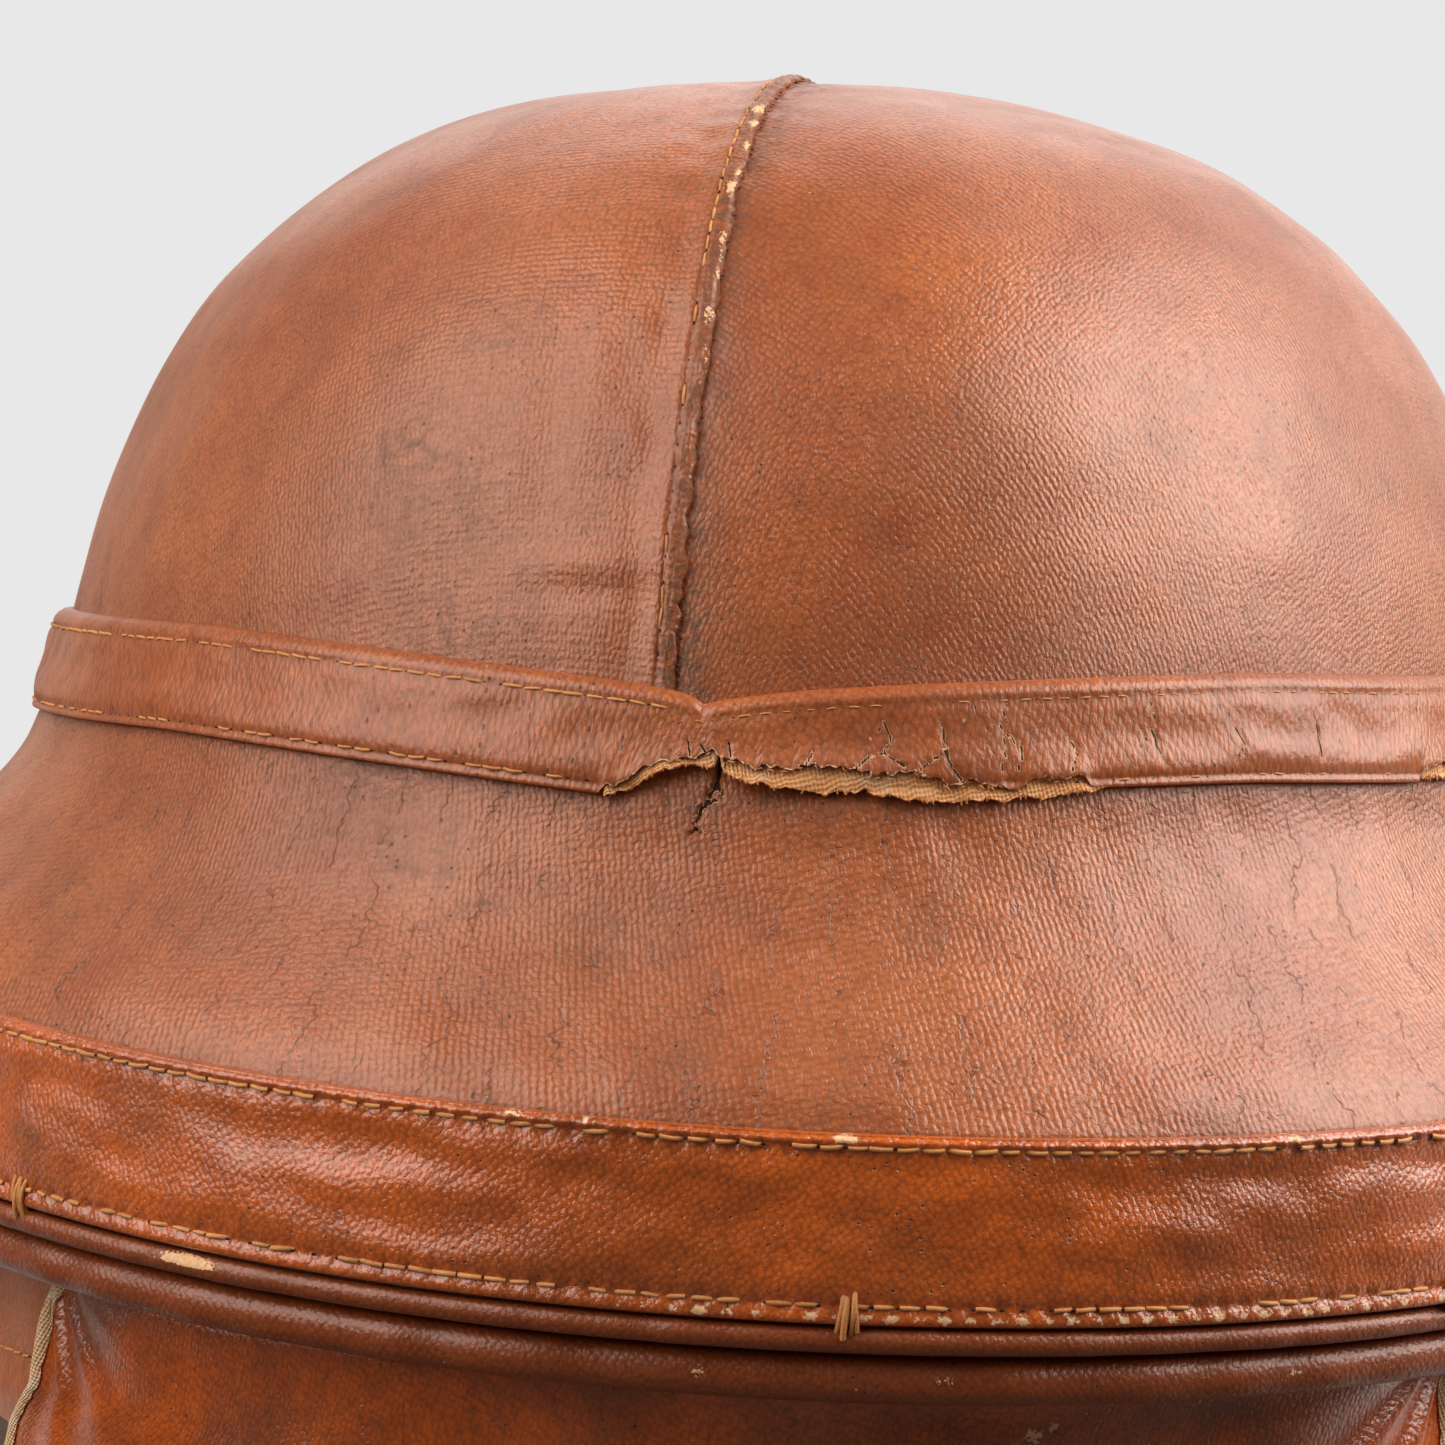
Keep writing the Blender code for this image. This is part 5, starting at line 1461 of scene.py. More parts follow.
def facing():
    """The cloth under the brim, rolled round a cord at its outer edge."""
    angle = directions(700)
    grid = facing_section(angle)
    row = np.arange(len(grid))[:, None]
    bare = sum(0.75 * bump_at(angle / DEG - at, 0.9) * bump_at(row - 13, 2.2) for at in FACING_WORN_SPOTS)
    # Painted shade on the cord's top under the binding and on its underside.
    grime = 0.5 * bump_at(row - 5, 3.5) + 0.30 * bump_at(row - 20, 4)
    piece = skin("brim_facing_roll", grid, FINISH["roll"], grime=grime, bare=bare)
    fit(piece, "helmet", "glossy_leathercloth", "under_brim_facing")


# Hanging panels

SEAM_EDGES = {
    1: ((0, 41.6), (1.2, 45), (2, 46.8), (2.6, 50.3), (4, 54.5), (6, 58)),
    -1: ((0, 58), (6, 58)),
}
SEAM_REACH = 115 * MM
YOKE_END = 120
YOKE_STITCH_ROW = 1.86
YOKE_HEM = 6.5 * MM
CURTAIN_HEM_ROW = 5.82
CURTAIN_SEAMS = (("curtain_seam", 2.3 * MM, 0.75, 101), ("curtain_seam_outer", 0.35 * MM, 0.25, 102))
LINING_THICKNESS = 0.9 * MM
CURTAIN_FLAKES = ((-0.43, 1.72, 0.012), (-0.455, 1.66, 0.008), (-0.49, 1.86, 0.014), (0.3, 4.2, 0.012))
CREASES = ((82, 7, 1.1), (66, 6, 1.3), (48, 6, 1.0), (26, 9, 0.9), (10, 5, 0.5))


def panel_height(from_back, row, bottom_z):
    top_z = under_brim_z(BACK - from_back, PANEL_OUT)
    upper = top_z + (YOKE_BOTTOM_Z - top_z) * np.clip(row / 2, 0, 1)
    return upper + (bottom_z - YOKE_BOTTOM_Z) * np.clip((row - 2) / 4, 0, 1)


def creases(across, z):
    """The curtain's creases, which fan out from where the brim meets its two seams."""
    total = np.zeros_like(z)
    drop = np.maximum(-33 * MM - z, 0)
    for side in (1, -1):
        beside = np.abs(side - across) * 100 * MM
        reach = np.hypot(beside, drop)
        way = np.arctan2(drop, beside) / DEG
        near = smooth_step(reach, 1 * MM, 9 * MM) * bump_at(reach, 45 * MM)
        for at, width, depth in CREASES:
            total += depth * MM * bump_at(way - at, width) * near
    return total


def curtain_face(across, row, inward=0.0):
    """The neck curtain from seam to seam (-1 to 1) and from the brim down (rows 0 to 6)."""
    left, right = (table_line(SEAM_EDGES[side], row) for side in (1, -1))
    from_back = across * np.where(across > 0, left, right) * DEG
    down = row / 6
    middle = 1 - across ** 2
    fold = 3.8 * MM * np.cos(5 * math.pi * across) * down * middle
    drawn = 11 * MM * down ** 1.5 * middle
    z = panel_height(from_back, row, CURTAIN_BOTTOM_Z + 16 * MM * across ** 4)
    swag = 0.9 * MM * bump_at(z + 39.5 * MM, 2.4 * MM) * middle
    uneven = 0.6 * MM * ripple(ring(BACK - from_back, PANEL_OUT, z), 30 * MM, 95)
    moved = (creases(across, z) + uneven + swag) * smooth_step(row, 0, 0.5)
    return ring(BACK - from_back, PANEL_OUT - inward + fold - drawn + moved, z)


def yoke_face(side, across, row, inward=0.0):
    """A side yoke from its seam (0) to its front end (1) and from the brim down (rows 0 to 2)."""
    start = table_line(SEAM_EDGES[side], row) + GAP / sizes().half_width / DEG
    from_back = side * (start + (YOKE_END - start) * across) * DEG
    z = panel_height(from_back, row, YOKE_BOTTOM_Z)
    base = ring(BACK - from_back, PANEL_OUT, z)
    uneven = 0.35 * MM * ripple(base, 20 * MM, 97) * smooth_step(row, 0, 0.4) * smooth_step(2.0 - row, 0, 0.3)
    hem = np.clip((row - YOKE_STITCH_ROW) / (2 - YOKE_STITCH_ROW), 0, 1)
    fuller = 1 - smooth_step(np.abs(from_back) / DEG, 51, 63)
    bulge = 0.9 * MM * np.sin(math.pi * hem) * fuller
    return ring(BACK - from_back, PANEL_OUT - inward + uneven + bulge, z - YOKE_HEM * hem * fuller)


def cloth_sheet(name, outer, inner, finish, flat, body, slot, node, rests_on, **marks):
    """A hanging sheet of cloth from its two sides, given the size it was cut to, which is not used."""
    sheet = skin(name, np.concatenate([outer, inner[::-1]]), FINISH[finish], wrap=False, **marks)
    fit(sheet, body, slot, node)


def lined_panel(
    pattern, node_pattern, face, across, row, thick, finish, cut, lining_cut, body, slot, rests_on, **marks
):
    """A hanging cloth and its sateen lining, whose names and nodes fill in the two patterns."""
    cloth = (face(across, row, depth) for depth in (0.0, thick))
    cloth_sheet(pattern % "cloth", *cloth, finish, cut, body, slot, node_pattern % "", rests_on, **marks)
    across, row = across[:, ::2], row[::2]
    lining = (face(across, row, thick + GAP + depth) for depth in (0.0, LINING_THICKNESS))
    cloth_sheet(
        pattern % "sateen", *lining, "lining", lining_cut, body, "sateen",
        node_pattern % "_lining", node_pattern % "",
    )


def hanging_panels():
    """The neck curtain and the side yokes, each with its lining, and the seams between them."""
    across, row = np.linspace(-1, 1, 300)[None, :], np.linspace(0, 6, 120)[:, None]
    bare = sum(
        1.3 * bump_at(np.hypot(across - at, (row - at_row) * 0.15), wide)
        for at, at_row, wide in CURTAIN_FLAKES
    )
    lined_panel(
        "neck_curtain_%s", "neck_curtain%s", curtain_face, across, row, 1.8 * MM, "curtain", (0.235, 0.082),
        (0.225, 0.082), "helmet", "glossy_leathercloth", "under_brim_facing",
        # Painted shade along the top, under the brim's rolled edge.
        grime=0.75 * bump_at(row, 0.35), bare=bare,
    )
    across = np.linspace(0, 1, 160)[None, :]
    row = np.union1d(np.linspace(0, 2, 40), np.linspace(YOKE_STITCH_ROW, 2, 9))[:, None]
    for word, side, cut, lining_cut in (
        ("left", 1, (0.170, 0.046), (0.165, 0.044)), ("right", -1, (0.145, 0.044), (0.140, 0.042)),
    ):
        lined_panel(
            "yoke_%s_" + word, "side_yoke%s_" + word, partial(yoke_face, side), across, row, 1.8 * MM,
            "yoke", cut, lining_cut, "helmet", "glossy_leathercloth", "under_brim_facing",
            # Painted shade along the top, under the brim's rolled edge.
            grime=0.6 * bump_at(row, 0.3),
        )
        seam_edge(word, side)
    panel_stitches()


def seam_edge(word, side):
    """The pale raw edge of the curtain where it is sewn over the side yoke."""
    row = np.linspace(0.25, 5.98, 180)
    share = np.linspace(0, 1, 7)[:, None]
    uneven = 0.12 * MM * ripple(np.stack([0 * row, 0 * row, row], -1), 0.08, 98)
    wide = (0.9 + 2.3 * smooth_step(row, 0.5, 1.3)) * MM + uneven
    outer = curtain_face(side * (1 - share * wide / SEAM_REACH), row)
    bulge = 0.55 * MM * np.sin(math.pi * np.clip(share, 0.08, 1))
    outer = outer + normals_of(outer, wrap=False) * (0.25 * MM + bulge)[..., None]
    # Painted shade near the top, under the brim.
    dark = np.broadcast_to(0.7 * (1 - smooth_step(row, 0.4, 1.2)), outer.shape[:2])
    grid = shell(outer, 0.5 * MM, wrap=False)
    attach(skin("curtain_raw_edge_" + word, grid, FINISH["selvedge"], wrap=False, grime=dark), "helmet")


def panel_stitches():
    """Stitches beside the panels' seams and along their lower edges."""
    s = sizes()
    rng = np.random.default_rng(99)
    row = np.linspace(0.2, 5.95, 700)
    for word, side in (("left", 1), ("right", -1)):
        for name, inset, chance, seed in CURTAIN_SEAMS:
            line = curtain_face(np.full_like(row, side * (1 - inset / SEAM_REACH)), row)
            out = unit(line * (1, 1, 0))
            line = line + out * 0.15 * MM
            sewn_along("%s_%s" % (name, word), line, out, 0.8, seed, s.band_pitch, rng, chance, 0.08)
        across = np.linspace(0.02, 0.98, 500)
        line = yoke_face(side, across, np.full_like(across, YOKE_STITCH_ROW))
        sewn_along("yoke_edge_" + word, line, unit(line * (1, 1, 0)), 0.9, 103, s.hem_pitch, rng, 0.9)
    across = np.linspace(-0.985, 0.985, 900)
    line = curtain_face(across, np.full_like(across, CURTAIN_HEM_ROW))
    sewn_along("curtain_edge", line, unit(line * (1, 1, 0)), 0.9, 104, s.hem_pitch, rng, 0.9)


# Ear flaps

FLAP_WIDTHS = ((0, 1.0), (0.20, 0.98), (0.42, 0.90), (0.64, 0.76), (0.83, 0.60), (0.95, 0.50), (1.0, 0.42))
FLAP_BORDER = 3.0 * MM


def flap_face(side, across, down, inward=0.0):
    """An ear flap from its fold (0) to its tip (1)."""
    y = FLAP_Y + across * curve(FLAP_WIDTHS, down) * FLAP_HALF
    hinge_x = sizes().half_width + PANEL_OUT
    around = np.sqrt(1 - (y / (sizes().half_length + PANEL_OUT)) ** 2)
    x = hinge_x * around + (hinge_x - hinge_x * around) * down - inward
    z = YOKE_BOTTOM_Z - GAP - FLAP_LENGTH * down
    base = np.stack(np.broadcast_arrays(side * x, y, z), -1)
    inside = smooth_step(1 - np.abs(across), 0, 0.15) * smooth_step(1 - down, 0.2, 0.4)
    free = smooth_step(down, 0, 0.1) * inside
    soft = 0.45 * MM * ripple(base, 26 * MM, 111) + 0.10 * MM * ripple(base, 9 * MM, 112)
    base[..., 0] += side * (soft - 0.5 * MM) * free
    return base


def ear_flaps():
    """The ear flaps with their linings, border stitches and the strap ends sewn on them."""
    across, down = np.linspace(-1, 1, 90)[None, :], np.linspace(0, 1, 80)[:, None]
    grime = 0.45 * bump_at(1 - np.abs(across), 0.06) + 0.4 * bump_at(down - 1, 0.05)
    grime = grime + 0.3 * bump_at(down, 0.04)
    cut = (0.074, 0.063)
    for word, side in (("left", 1), ("right", -1)):
        body = "flap_" + word
        lined_panel(
            "ear_flap_%s_" + word, "ear_flap%s_" + word, partial(flap_face, side), across, down, 2.2 * MM,
            "yoke", cut, cut, body, "leathercloth", "side_yoke_" + word, grime=grime,
        )
        flap_border(word, side, body)
        strap_end(word, side, body)


def flap_border(word, side, body):
    """The stitches beside a flap's edge, down one side, round its tip and up the other."""
    turn = np.linspace(0, 1, 200)
    down = np.concatenate([0.05 + 0.90 * turn, np.full(60, 0.95), 0.95 - 0.90 * turn])
    sweep = np.concatenate([np.full(200, -1.0), np.linspace(-1, 1, 60), np.full(200, 1.0)])
    line = flap_face(side, sweep * (1 - FLAP_BORDER / (curve(FLAP_WIDTHS, down) * FLAP_HALF)), down)
    rng = np.random.default_rng(114)
    sewn_along("flap_border_" + word, line, (side, 0, 0), 0.9, 113, sizes().hem_pitch, rng, 0.93, body=body)


# Straps and buckle

STRAP_HALF = 9 * MM
STRAP_LENGTH = 140 * MM
STRAP_POINT = 11 * MM
STRAP_END_HEIGHT = 16 * MM
HOLE_RADIUS = 1.4 * MM
HOLE_COUNT = 6
HOLE_START = 28 * MM
HOLE_PITCH = 12 * MM
BOX_PITCH = 2.4 * MM
BOX_INSET = 2.4 * MM
ROW_PITCH = 2.6 * MM
ROW_INSET = 1.9 * MM
STRAP_TURN = 50 * DEG


def prism(name, outline, start, end, axis):
    """A plain solid with this outline, between two places along X or Y."""
    mesh = bmesh.new()
    loops = []
    for along in (start, end):
        loops.append([mesh.verts.new((along, a, b) if axis == "X" else (a, along, b)) for a, b in outline])
    for i in range(len(outline)):
        j = (i + 1) % len(outline)
        mesh.faces.new((loops[0][i], loops[0][j], loops[1][j], loops[1][i]))
    mesh.faces.new(loops[0][::-1])
    mesh.faces.new(loops[1])
    bmesh.ops.recalc_face_normals(mesh, faces=mesh.faces)
    data = bpy.data.meshes.new(name)
    mesh.to_mesh(data)
    mesh.free()
    return link(name, data)


def surfaced(mesh, finish):
    """Gives a mesh its finish and smooth shading between its sharp edges."""
    mesh.shade_smooth()
    mesh.set_sharp_from_angle(angle=STRAP_TURN)
    mesh.materials.clear()
    mesh.materials.append(finish)
    return mesh


def finished(piece, finish, bevel, cutters=()):
    """Cuts a strap, rounds its edges and bakes the result into its own mesh."""
    for cutter in cutters:
        cut = piece.modifiers.new("Cut", "BOOLEAN")
        cut.operation, cut.solver, cut.object = "DIFFERENCE", "EXACT", cutter
    rounding = piece.modifiers.new("Rounding", "BEVEL")
    rounding.width, rounding.segments, rounding.limit_method = bevel, 3, "ANGLE"
    rounding.angle_limit = 40 * DEG
    baked = evaluated_mesh(piece)
    piece.modifiers.clear()
    piece.data = surfaced(baked, finish)
    for cutter in cutters:
        bpy.data.objects.remove(cutter)
    return piece


def arc(x, z, radius, turns):
    """Points along a circle, from turns that run from the first axis towards Z."""
    return [(x + radius * math.cos(t), z + radius * math.sin(t)) for t in turns]


def round_top(x):
    """The rounded top of a strap that hangs from its axis at this place."""
    return arc(x, STRAP_AXIS_Z, MM, np.linspace(math.pi, 0, 13))


def strap_end(word, side, body):
    """The strap's end, sewn flat on a flap with a box of stitches."""
    low, high = FLAP_TIP_Z, FLAP_TIP_Z + STRAP_END_HEIGHT
    near, far = FLAP_Y - STRAP_HALF, FLAP_Y + STRAP_HALF
    cut = 2.2 * MM
    outline = (
        (near, low), (far, low), (far, high - cut), (far - cut, high), (near + cut, high), (near, high - cut),
    )
    between = sorted((side * (STRAP_X - MM), side * (STRAP_X + MM)))
    piece = prism("strap_end_" + word, outline, *between, "X")
    fit(finished(piece, FINISH["hide"], 0.4 * MM), body, "hide", "strap_anchor_" + word)
    near, far, low, high = near + BOX_INSET, far - BOX_INSET, low + BOX_INSET, high - BOX_INSET
    corners = ((near, low), (far, low), (far, high), (near, high), (near, low), (far, high))
    line = np.array([(side * (STRAP_X + MM), y, z) for y, z in corners])
    fine = np.concatenate([a + (b - a) * np.linspace(0, 1, 40)[:, None] for a, b in zip(line, line[1:])])
    sewn("strap_end_box_" + word, places_on(fine, (side, 0, 0), BOX_PITCH), 0.9, 122, BOX_PITCH, body=body)


def strap_rows(name, x, top_z, low_z, body, seed):
    """The two rows of edge stitches down the outside of a strap."""
    for word, way in (("front", -1), ("back", 1)):
        y = FLAP_Y + way * (STRAP_HALF - ROW_INSET)
        line = np.linspace((x, y, top_z), (x, y, low_z), 200)
        sewn(name + "_" + word, places_on(line, (x, 0, 0), ROW_PITCH), 0.75, seed, ROW_PITCH, body=body)


def strap_cutters(end_z):
    """What is cut from the long strap: its holes and both corners of its rounded end."""
    between = -STRAP_X - 3 * MM, -STRAP_X + 3 * MM, "X"
    whole, quarter = np.linspace(0, 2 * math.pi, 25)[:-1], np.linspace(0, math.pi / 2, 9)
    holes = (end_z + HOLE_START + HOLE_PITCH * hole for hole in range(HOLE_COUNT))
    cutters = [prism("hole_cutter", arc(FLAP_Y, z, HOLE_RADIUS, whole), *between) for z in holes]
    spare = 2 * MM
    for way in (-1, 1):
        side = FLAP_Y + way * (STRAP_HALF + spare)
        corner = [
            (FLAP_Y + way * STRAP_HALF * math.sin(t), end_z + STRAP_POINT * (1 - math.cos(t)))
            for t in quarter
        ]
        corner += [(side, end_z + STRAP_POINT), (side, end_z - spare), (FLAP_Y, end_z - spare)]
        cutters.append(prism("point_cutter", corner, *between))
    return cutters


def chin_straps():
    """Both halves of the chin strap and the keeper loop."""
    end_z = STRAP_AXIS_Z - STRAP_LENGTH
    outline = round_top(-STRAP_X) + [(-STRAP_X + MM, end_z), (-STRAP_X - MM, end_z)]
    strap = prism("chin_strap_hide", outline, FLAP_Y - STRAP_HALF, FLAP_Y + STRAP_HALF, "Y")
    fit(finished(strap, FINISH["hide"], 0.35 * MM, strap_cutters(end_z)), "strap_long", "hide", "chin_strap")
    low_z = end_z + STRAP_POINT + 3 * MM
    strap_rows("chin_strap_row", -STRAP_X - MM, STRAP_AXIS_Z - 3 * MM, low_z, "strap_long", 123)
    buckle_strap()
    keeper()


def buckle_strap():
    """The short half, turned round the buckle's bar and sewn back on itself."""
    loop = 1.8 * MM
    outer_loop = loop + 2 * MM
    sweep = np.linspace(0, -math.pi, 17)
    face_x = STRAP_X - MM - GAP
    back_x = face_x - 2 * MM
    meet_z, end_z = BAR_Z + 7.5 * MM, BAR_Z + 15 * MM
    outline = round_top(STRAP_X) + arc(BAR_X, BAR_Z, outer_loop, sweep)
    outline += [(back_x, meet_z), (back_x, end_z), (face_x, end_z), (face_x, meet_z)]
    outline += arc(BAR_X, BAR_Z, loop, sweep[::-1])
    strap = prism("buckle_strap_hide", outline, FLAP_Y - STRAP_HALF, FLAP_Y + STRAP_HALF, "Y")
    slot, reach = 1.7 * MM, outer_loop + 2 * MM
    near, far, low, high = BAR_X - reach, BAR_X + reach, BAR_Z - reach, BAR_Z + 9 * MM
    hole = ((near, low), (far, low), (far, high), (near, high))
    cutter = prism("slot_cutter", hole, FLAP_Y - slot, FLAP_Y + slot, "Y")
    fit(finished(strap, FINISH["hide"], 0.3 * MM, [cutter]), "strap_short", "hide", "buckle_strap")
    strap_rows("buckle_strap_row", STRAP_X + MM, STRAP_AXIS_Z - 3 * MM, BAR_Z + 2 * MM, "strap_short", 125)


def keeper():
    """The loop that holds the strap's free end."""
    turns = np.linspace(0, 2 * math.pi, 49)[:-1]
    box = np.stack([np.cos(turns), np.sin(turns)]) / np.maximum(np.abs(np.cos(turns)), np.abs(np.sin(turns)))
    low_x, high_x = STRAP_X - 1.3 * MM, STRAP_X + 3.4 * MM
    half_y = STRAP_HALF + 0.4 * MM
    top_z = STRAP_AXIS_Z - 13 * MM
    low_z, wall = top_z - 8 * MM, 1.2 * MM
    rows = []
    for thick, z in ((0, top_z), (wall, top_z), (wall, low_z), (0, low_z)):
        x = (low_x + high_x) / 2 + ((high_x - low_x) / 2 + thick) * box[0]
        rows.append(np.stack([x, FLAP_Y + (half_y + thick) * box[1], np.full_like(x, z)], -1))
    piece = skin("keeper_loop", np.stack(rows), FINISH["hide"])
    fit(finished(piece, FINISH["hide"], 0.25 * MM), "strap_short", "hide", "strap_keeper")


def wire(name, points, radius, cyclic, finish):
    """Round wire along a line of points."""
    data = bpy.data.curves.new(name, "CURVE")
    data.dimensions, data.bevel_depth, data.bevel_resolution, data.use_fill_caps = "3D", radius, 6, True
    spline = data.splines.new("POLY")
    spline.points.add(len(points) - 1)
    for point, at in zip(spline.points, points):
        point.co = (*at, 1)
    spline.use_cyclic_u = cyclic
    carrier = bpy.data.objects.new(name, data)
    bpy.context.scene.collection.objects.link(carrier)
    mesh = surfaced(evaluated_mesh(carrier), finish)
    bpy.data.objects.remove(carrier)
    return link(name, mesh)


def buckle():
    """The bent wire frame and its prong."""
    half, corner, length, thick = 11.5 * MM, 3 * MM, 17 * MM, 3 * MM
    points = []
    for y, z, end in (
        (half - corner, -corner, 0), (half - corner, corner - length, -90),
        (corner - half, corner - length, 180), (corner - half, -corner, 90),
    ):
        turns = (end + np.linspace(90, 0, 9)) * DEG
        points += [(BAR_X, *at) for at in arc(FLAP_Y + y, BAR_Z + z, corner, turns)]
    fit(wire("buckle_wire", points, thick / 2, True, FINISH["brass"]), "buckle", "brass", "buckle_frame")
    prong = 1.1 * MM
    reach = thick / 2 + GAP + prong
    hook = [(x, FLAP_Y, z) for x, z in arc(BAR_X, BAR_Z, reach, np.linspace(205, 0, 22) * DEG)]
    straight = np.linspace(BAR_Z - 1 * MM, BAR_Z - length - thick / 2 - 1.8 * MM, 10)
    hook += [(BAR_X + reach, FLAP_Y, z) for z in straight]
    fit(wire("prong_wire", hook, prong, False, FINISH["brass"]), "prong", "brass", "buckle_prong")


# Head fitting

SWEATBAND_IN = -21.5 * MM
SWEATBAND_PITCH = 3.4 * MM
SWEATBAND_FOOT = ((1.5, 0.0), (1.1, 0.0), (0.3, 0.1), (0.0, 0.7), (0.0, 2.0), (0.25, 3.0), (0.0, 4.0))
SWEATBAND_TOP = ((0.3, 31.7), (0.9, 32.0), (1.5, 31.8))
PAD_TOP = ((0.1, 36.2), (0.3, 36.5), (0.6, 36.5), (0.85, 36.2))
LINING_PLEATS = 72
CROWN_PAD_RADIUS = 45 * MM
CROWN_PAD_DEPTH = 12 * MM
CROWN_PAD_LIFT = 0.12 * MM


def head_fitting():
    """The sweatband, the pad behind it, the crown's lining and the pad at the top."""
    angle = np.linspace(0, 2 * math.pi, 421)[:-1]
    sweatband(angle)
    headband_pad(angle)
    crown_lining()
    crown_pad(angle)


def sweatband(angle):
    """The leather band round the head, with its row of stitches."""
    rows = [ring(angle, SWEATBAND_IN + out * MM, z * MM) for out, z in SWEATBAND_FOOT]
    for z in np.linspace(5, 30.5, 22):
        soft = 0.22 * MM * ripple(ring(angle, SWEATBAND_IN, z * MM), 24 * MM, 131) * smooth_step(z, 5, 9)
        rows.append(ring(angle, SWEATBAND_IN + np.maximum(soft, -0.2 * MM), z * MM))
    rows += [ring(angle, SWEATBAND_IN + out * MM, z * MM) for out, z in SWEATBAND_TOP]
    fit(skin("sweatband_leather", np.stack(rows), FINISH["sweat"]), "helmet", "hide", "sweatband")
    line = ring(np.linspace(0, 2 * math.pi, 1200), SWEATBAND_IN, 3.0 * MM)
    sewn("sweatband_stitches", places_on(line, -line * (1, 1, 0), SWEATBAND_PITCH), 0.8, 133, SWEATBAND_PITCH)


def headband_pad(angle):
    """The felt pad between the sweatband and the cork."""
    pad_in = SWEATBAND_IN + 1.8 * MM
    heights = np.linspace(0.8, 35.5, 20) * MM
    rows = [ring(angle, pad_in, z) for z in heights]
    for share, rise in PAD_TOP:
        out = dome_out(angle, rise * MM, CORK_INSIDE + GAP)
        rows.append(ring(angle, pad_in + (out - pad_in) * share, rise * MM))
    rows += [ring(angle, dome_out(angle, z, CORK_INSIDE + GAP + 0.2 * MM), z) for z in heights[::-1]]
    pad = skin("headband_felt", np.stack(rows), FINISH["felt"])
    fit(pad, "helmet", "felt", "headband_pad")


def lining_layer(share, inward, depth, angle):
    """One side of the crown's lining, from its edge to its top, with pleats this deep."""
    half_width, half_length, _, _ = dome_axes()
    z = dome_z(share, inward)
    fold = depth * (0.5 + 0.5 * np.sin(angle * LINING_PLEATS)) * smooth_step(share, 0.1, 0.35)
    x = (half_width - inward - fold) * share * np.cos(angle)
    y = (half_length - inward - fold) * share * np.sin(angle) + lean(z)
    return np.stack([x, y, z - fold * (1 - share)], -1)


def crown_lining():
    """The lining of the crown, gathered in narrow pleats towards its top."""
    angle = np.linspace(0, 2 * math.pi, 721)[:-1]
    share = dome_share(36.8 * MM, LINING_OUTSIDE) * np.cos(np.linspace(0, math.pi / 2, 60))[:, None]
    outer = lining_layer(share, LINING_OUTSIDE, 0.0, angle)
    inner = lining_layer(share, LINING_INSIDE, 0.5 * MM, angle)
    lining = skin("crown_sateen", np.concatenate([outer, inner[::-1]]), FINISH["lining"])
    fit(lining, "helmet", "sateen", "crown_lining")


def crown_pad(angle):
    """A felt pad that fills the top of the crown, quilted round and across."""
    inward = LINING_INSIDE + GAP + 0.6 * MM
    half_width, half_length, rise, centre_z = dome_axes()
    flat_z = centre_z + rise - (LINING_INSIDE + GAP) - CROWN_PAD_DEPTH + CROWN_PAD_LIFT
    rim = CROWN_PAD_RADIUS / (half_width - inward)
    levels = []
    for share in np.linspace(0, 0.90, 26):
        groove = 0.55 * MM * (bump_at(share - 0.45, 0.02) + bump_at(share - 0.80, 0.02))
        levels.append((share, flat_z + groove))
    for turn in np.linspace(0.1, 1, 8) * math.pi / 2:
        levels.append((0.90 + 0.10 * math.sin(turn), flat_z + 3 * MM * (1 - math.cos(turn))))
    for share in np.linspace(1, 0, 20):
        levels.append((share, dome_z(rim * share, inward) - 0.3 * MM * (1 - share)))
    share, z = (part[:, None] for part in np.array(levels).T)
    x = (half_width - inward) * rim * share * np.cos(angle)
    y = (half_length - inward) * rim * share * np.sin(angle) + lean(z)
    pad = skin("crown_felt_pad", np.stack([x, y, np.broadcast_to(z, x.shape)], -1), FINISH["felt"])
    fit(pad, "helmet", "felt", "crown_pad")


# Stage

CAMERA_DISTANCE = 0.9
CAMERA_TARGET = Vector((0, 0, 48 * MM))
CAMERA_TURN = (7.338 * DEG, 1.113 * DEG, 2.526 * DEG)
FOCAL_PIXELS = 6424.6
PHOTO_SIDE = 1445
SENSOR = 36
PAN = (-11.53 * MM, -11.93 * MM)
WALL_LIGHT = 0.70
WALL_GLOSS = 1.6
ROOM_LIGHT = 0.13
FLOOR_REACH = 8.0


def camera():
    """The camera behind the helmet, where the photograph was taken from."""
    turn, climb, roll = CAMERA_TURN
    to_camera = Vector((-math.sin(turn) * math.cos(climb), math.cos(turn) * math.cos(climb), math.sin(climb)))
    right = (-to_camera).cross(Vector((0, 0, 1))).normalized()
    up = right.cross(-to_camera)
    side = right * math.cos(roll) + up * math.sin(roll)
    top = up * math.cos(roll) - right * math.sin(roll)
    data = bpy.data.cameras.new("camera")
    data.sensor_width = SENSOR
    data.lens = SENSOR * FOCAL_PIXELS / PHOTO_SIDE
    data.shift_x, data.shift_y = (pan / CAMERA_DISTANCE * FOCAL_PIXELS / PHOTO_SIDE for pan in PAN)
    made = bpy.data.objects.new("camera", data)
    bpy.context.scene.collection.objects.link(made)
    place = Matrix.Translation(CAMERA_TARGET + to_camera * CAMERA_DISTANCE)
    made.matrix_world = place @ Matrix((side, top, to_camera)).transposed().to_4x4()
    bpy.context.scene.camera = made


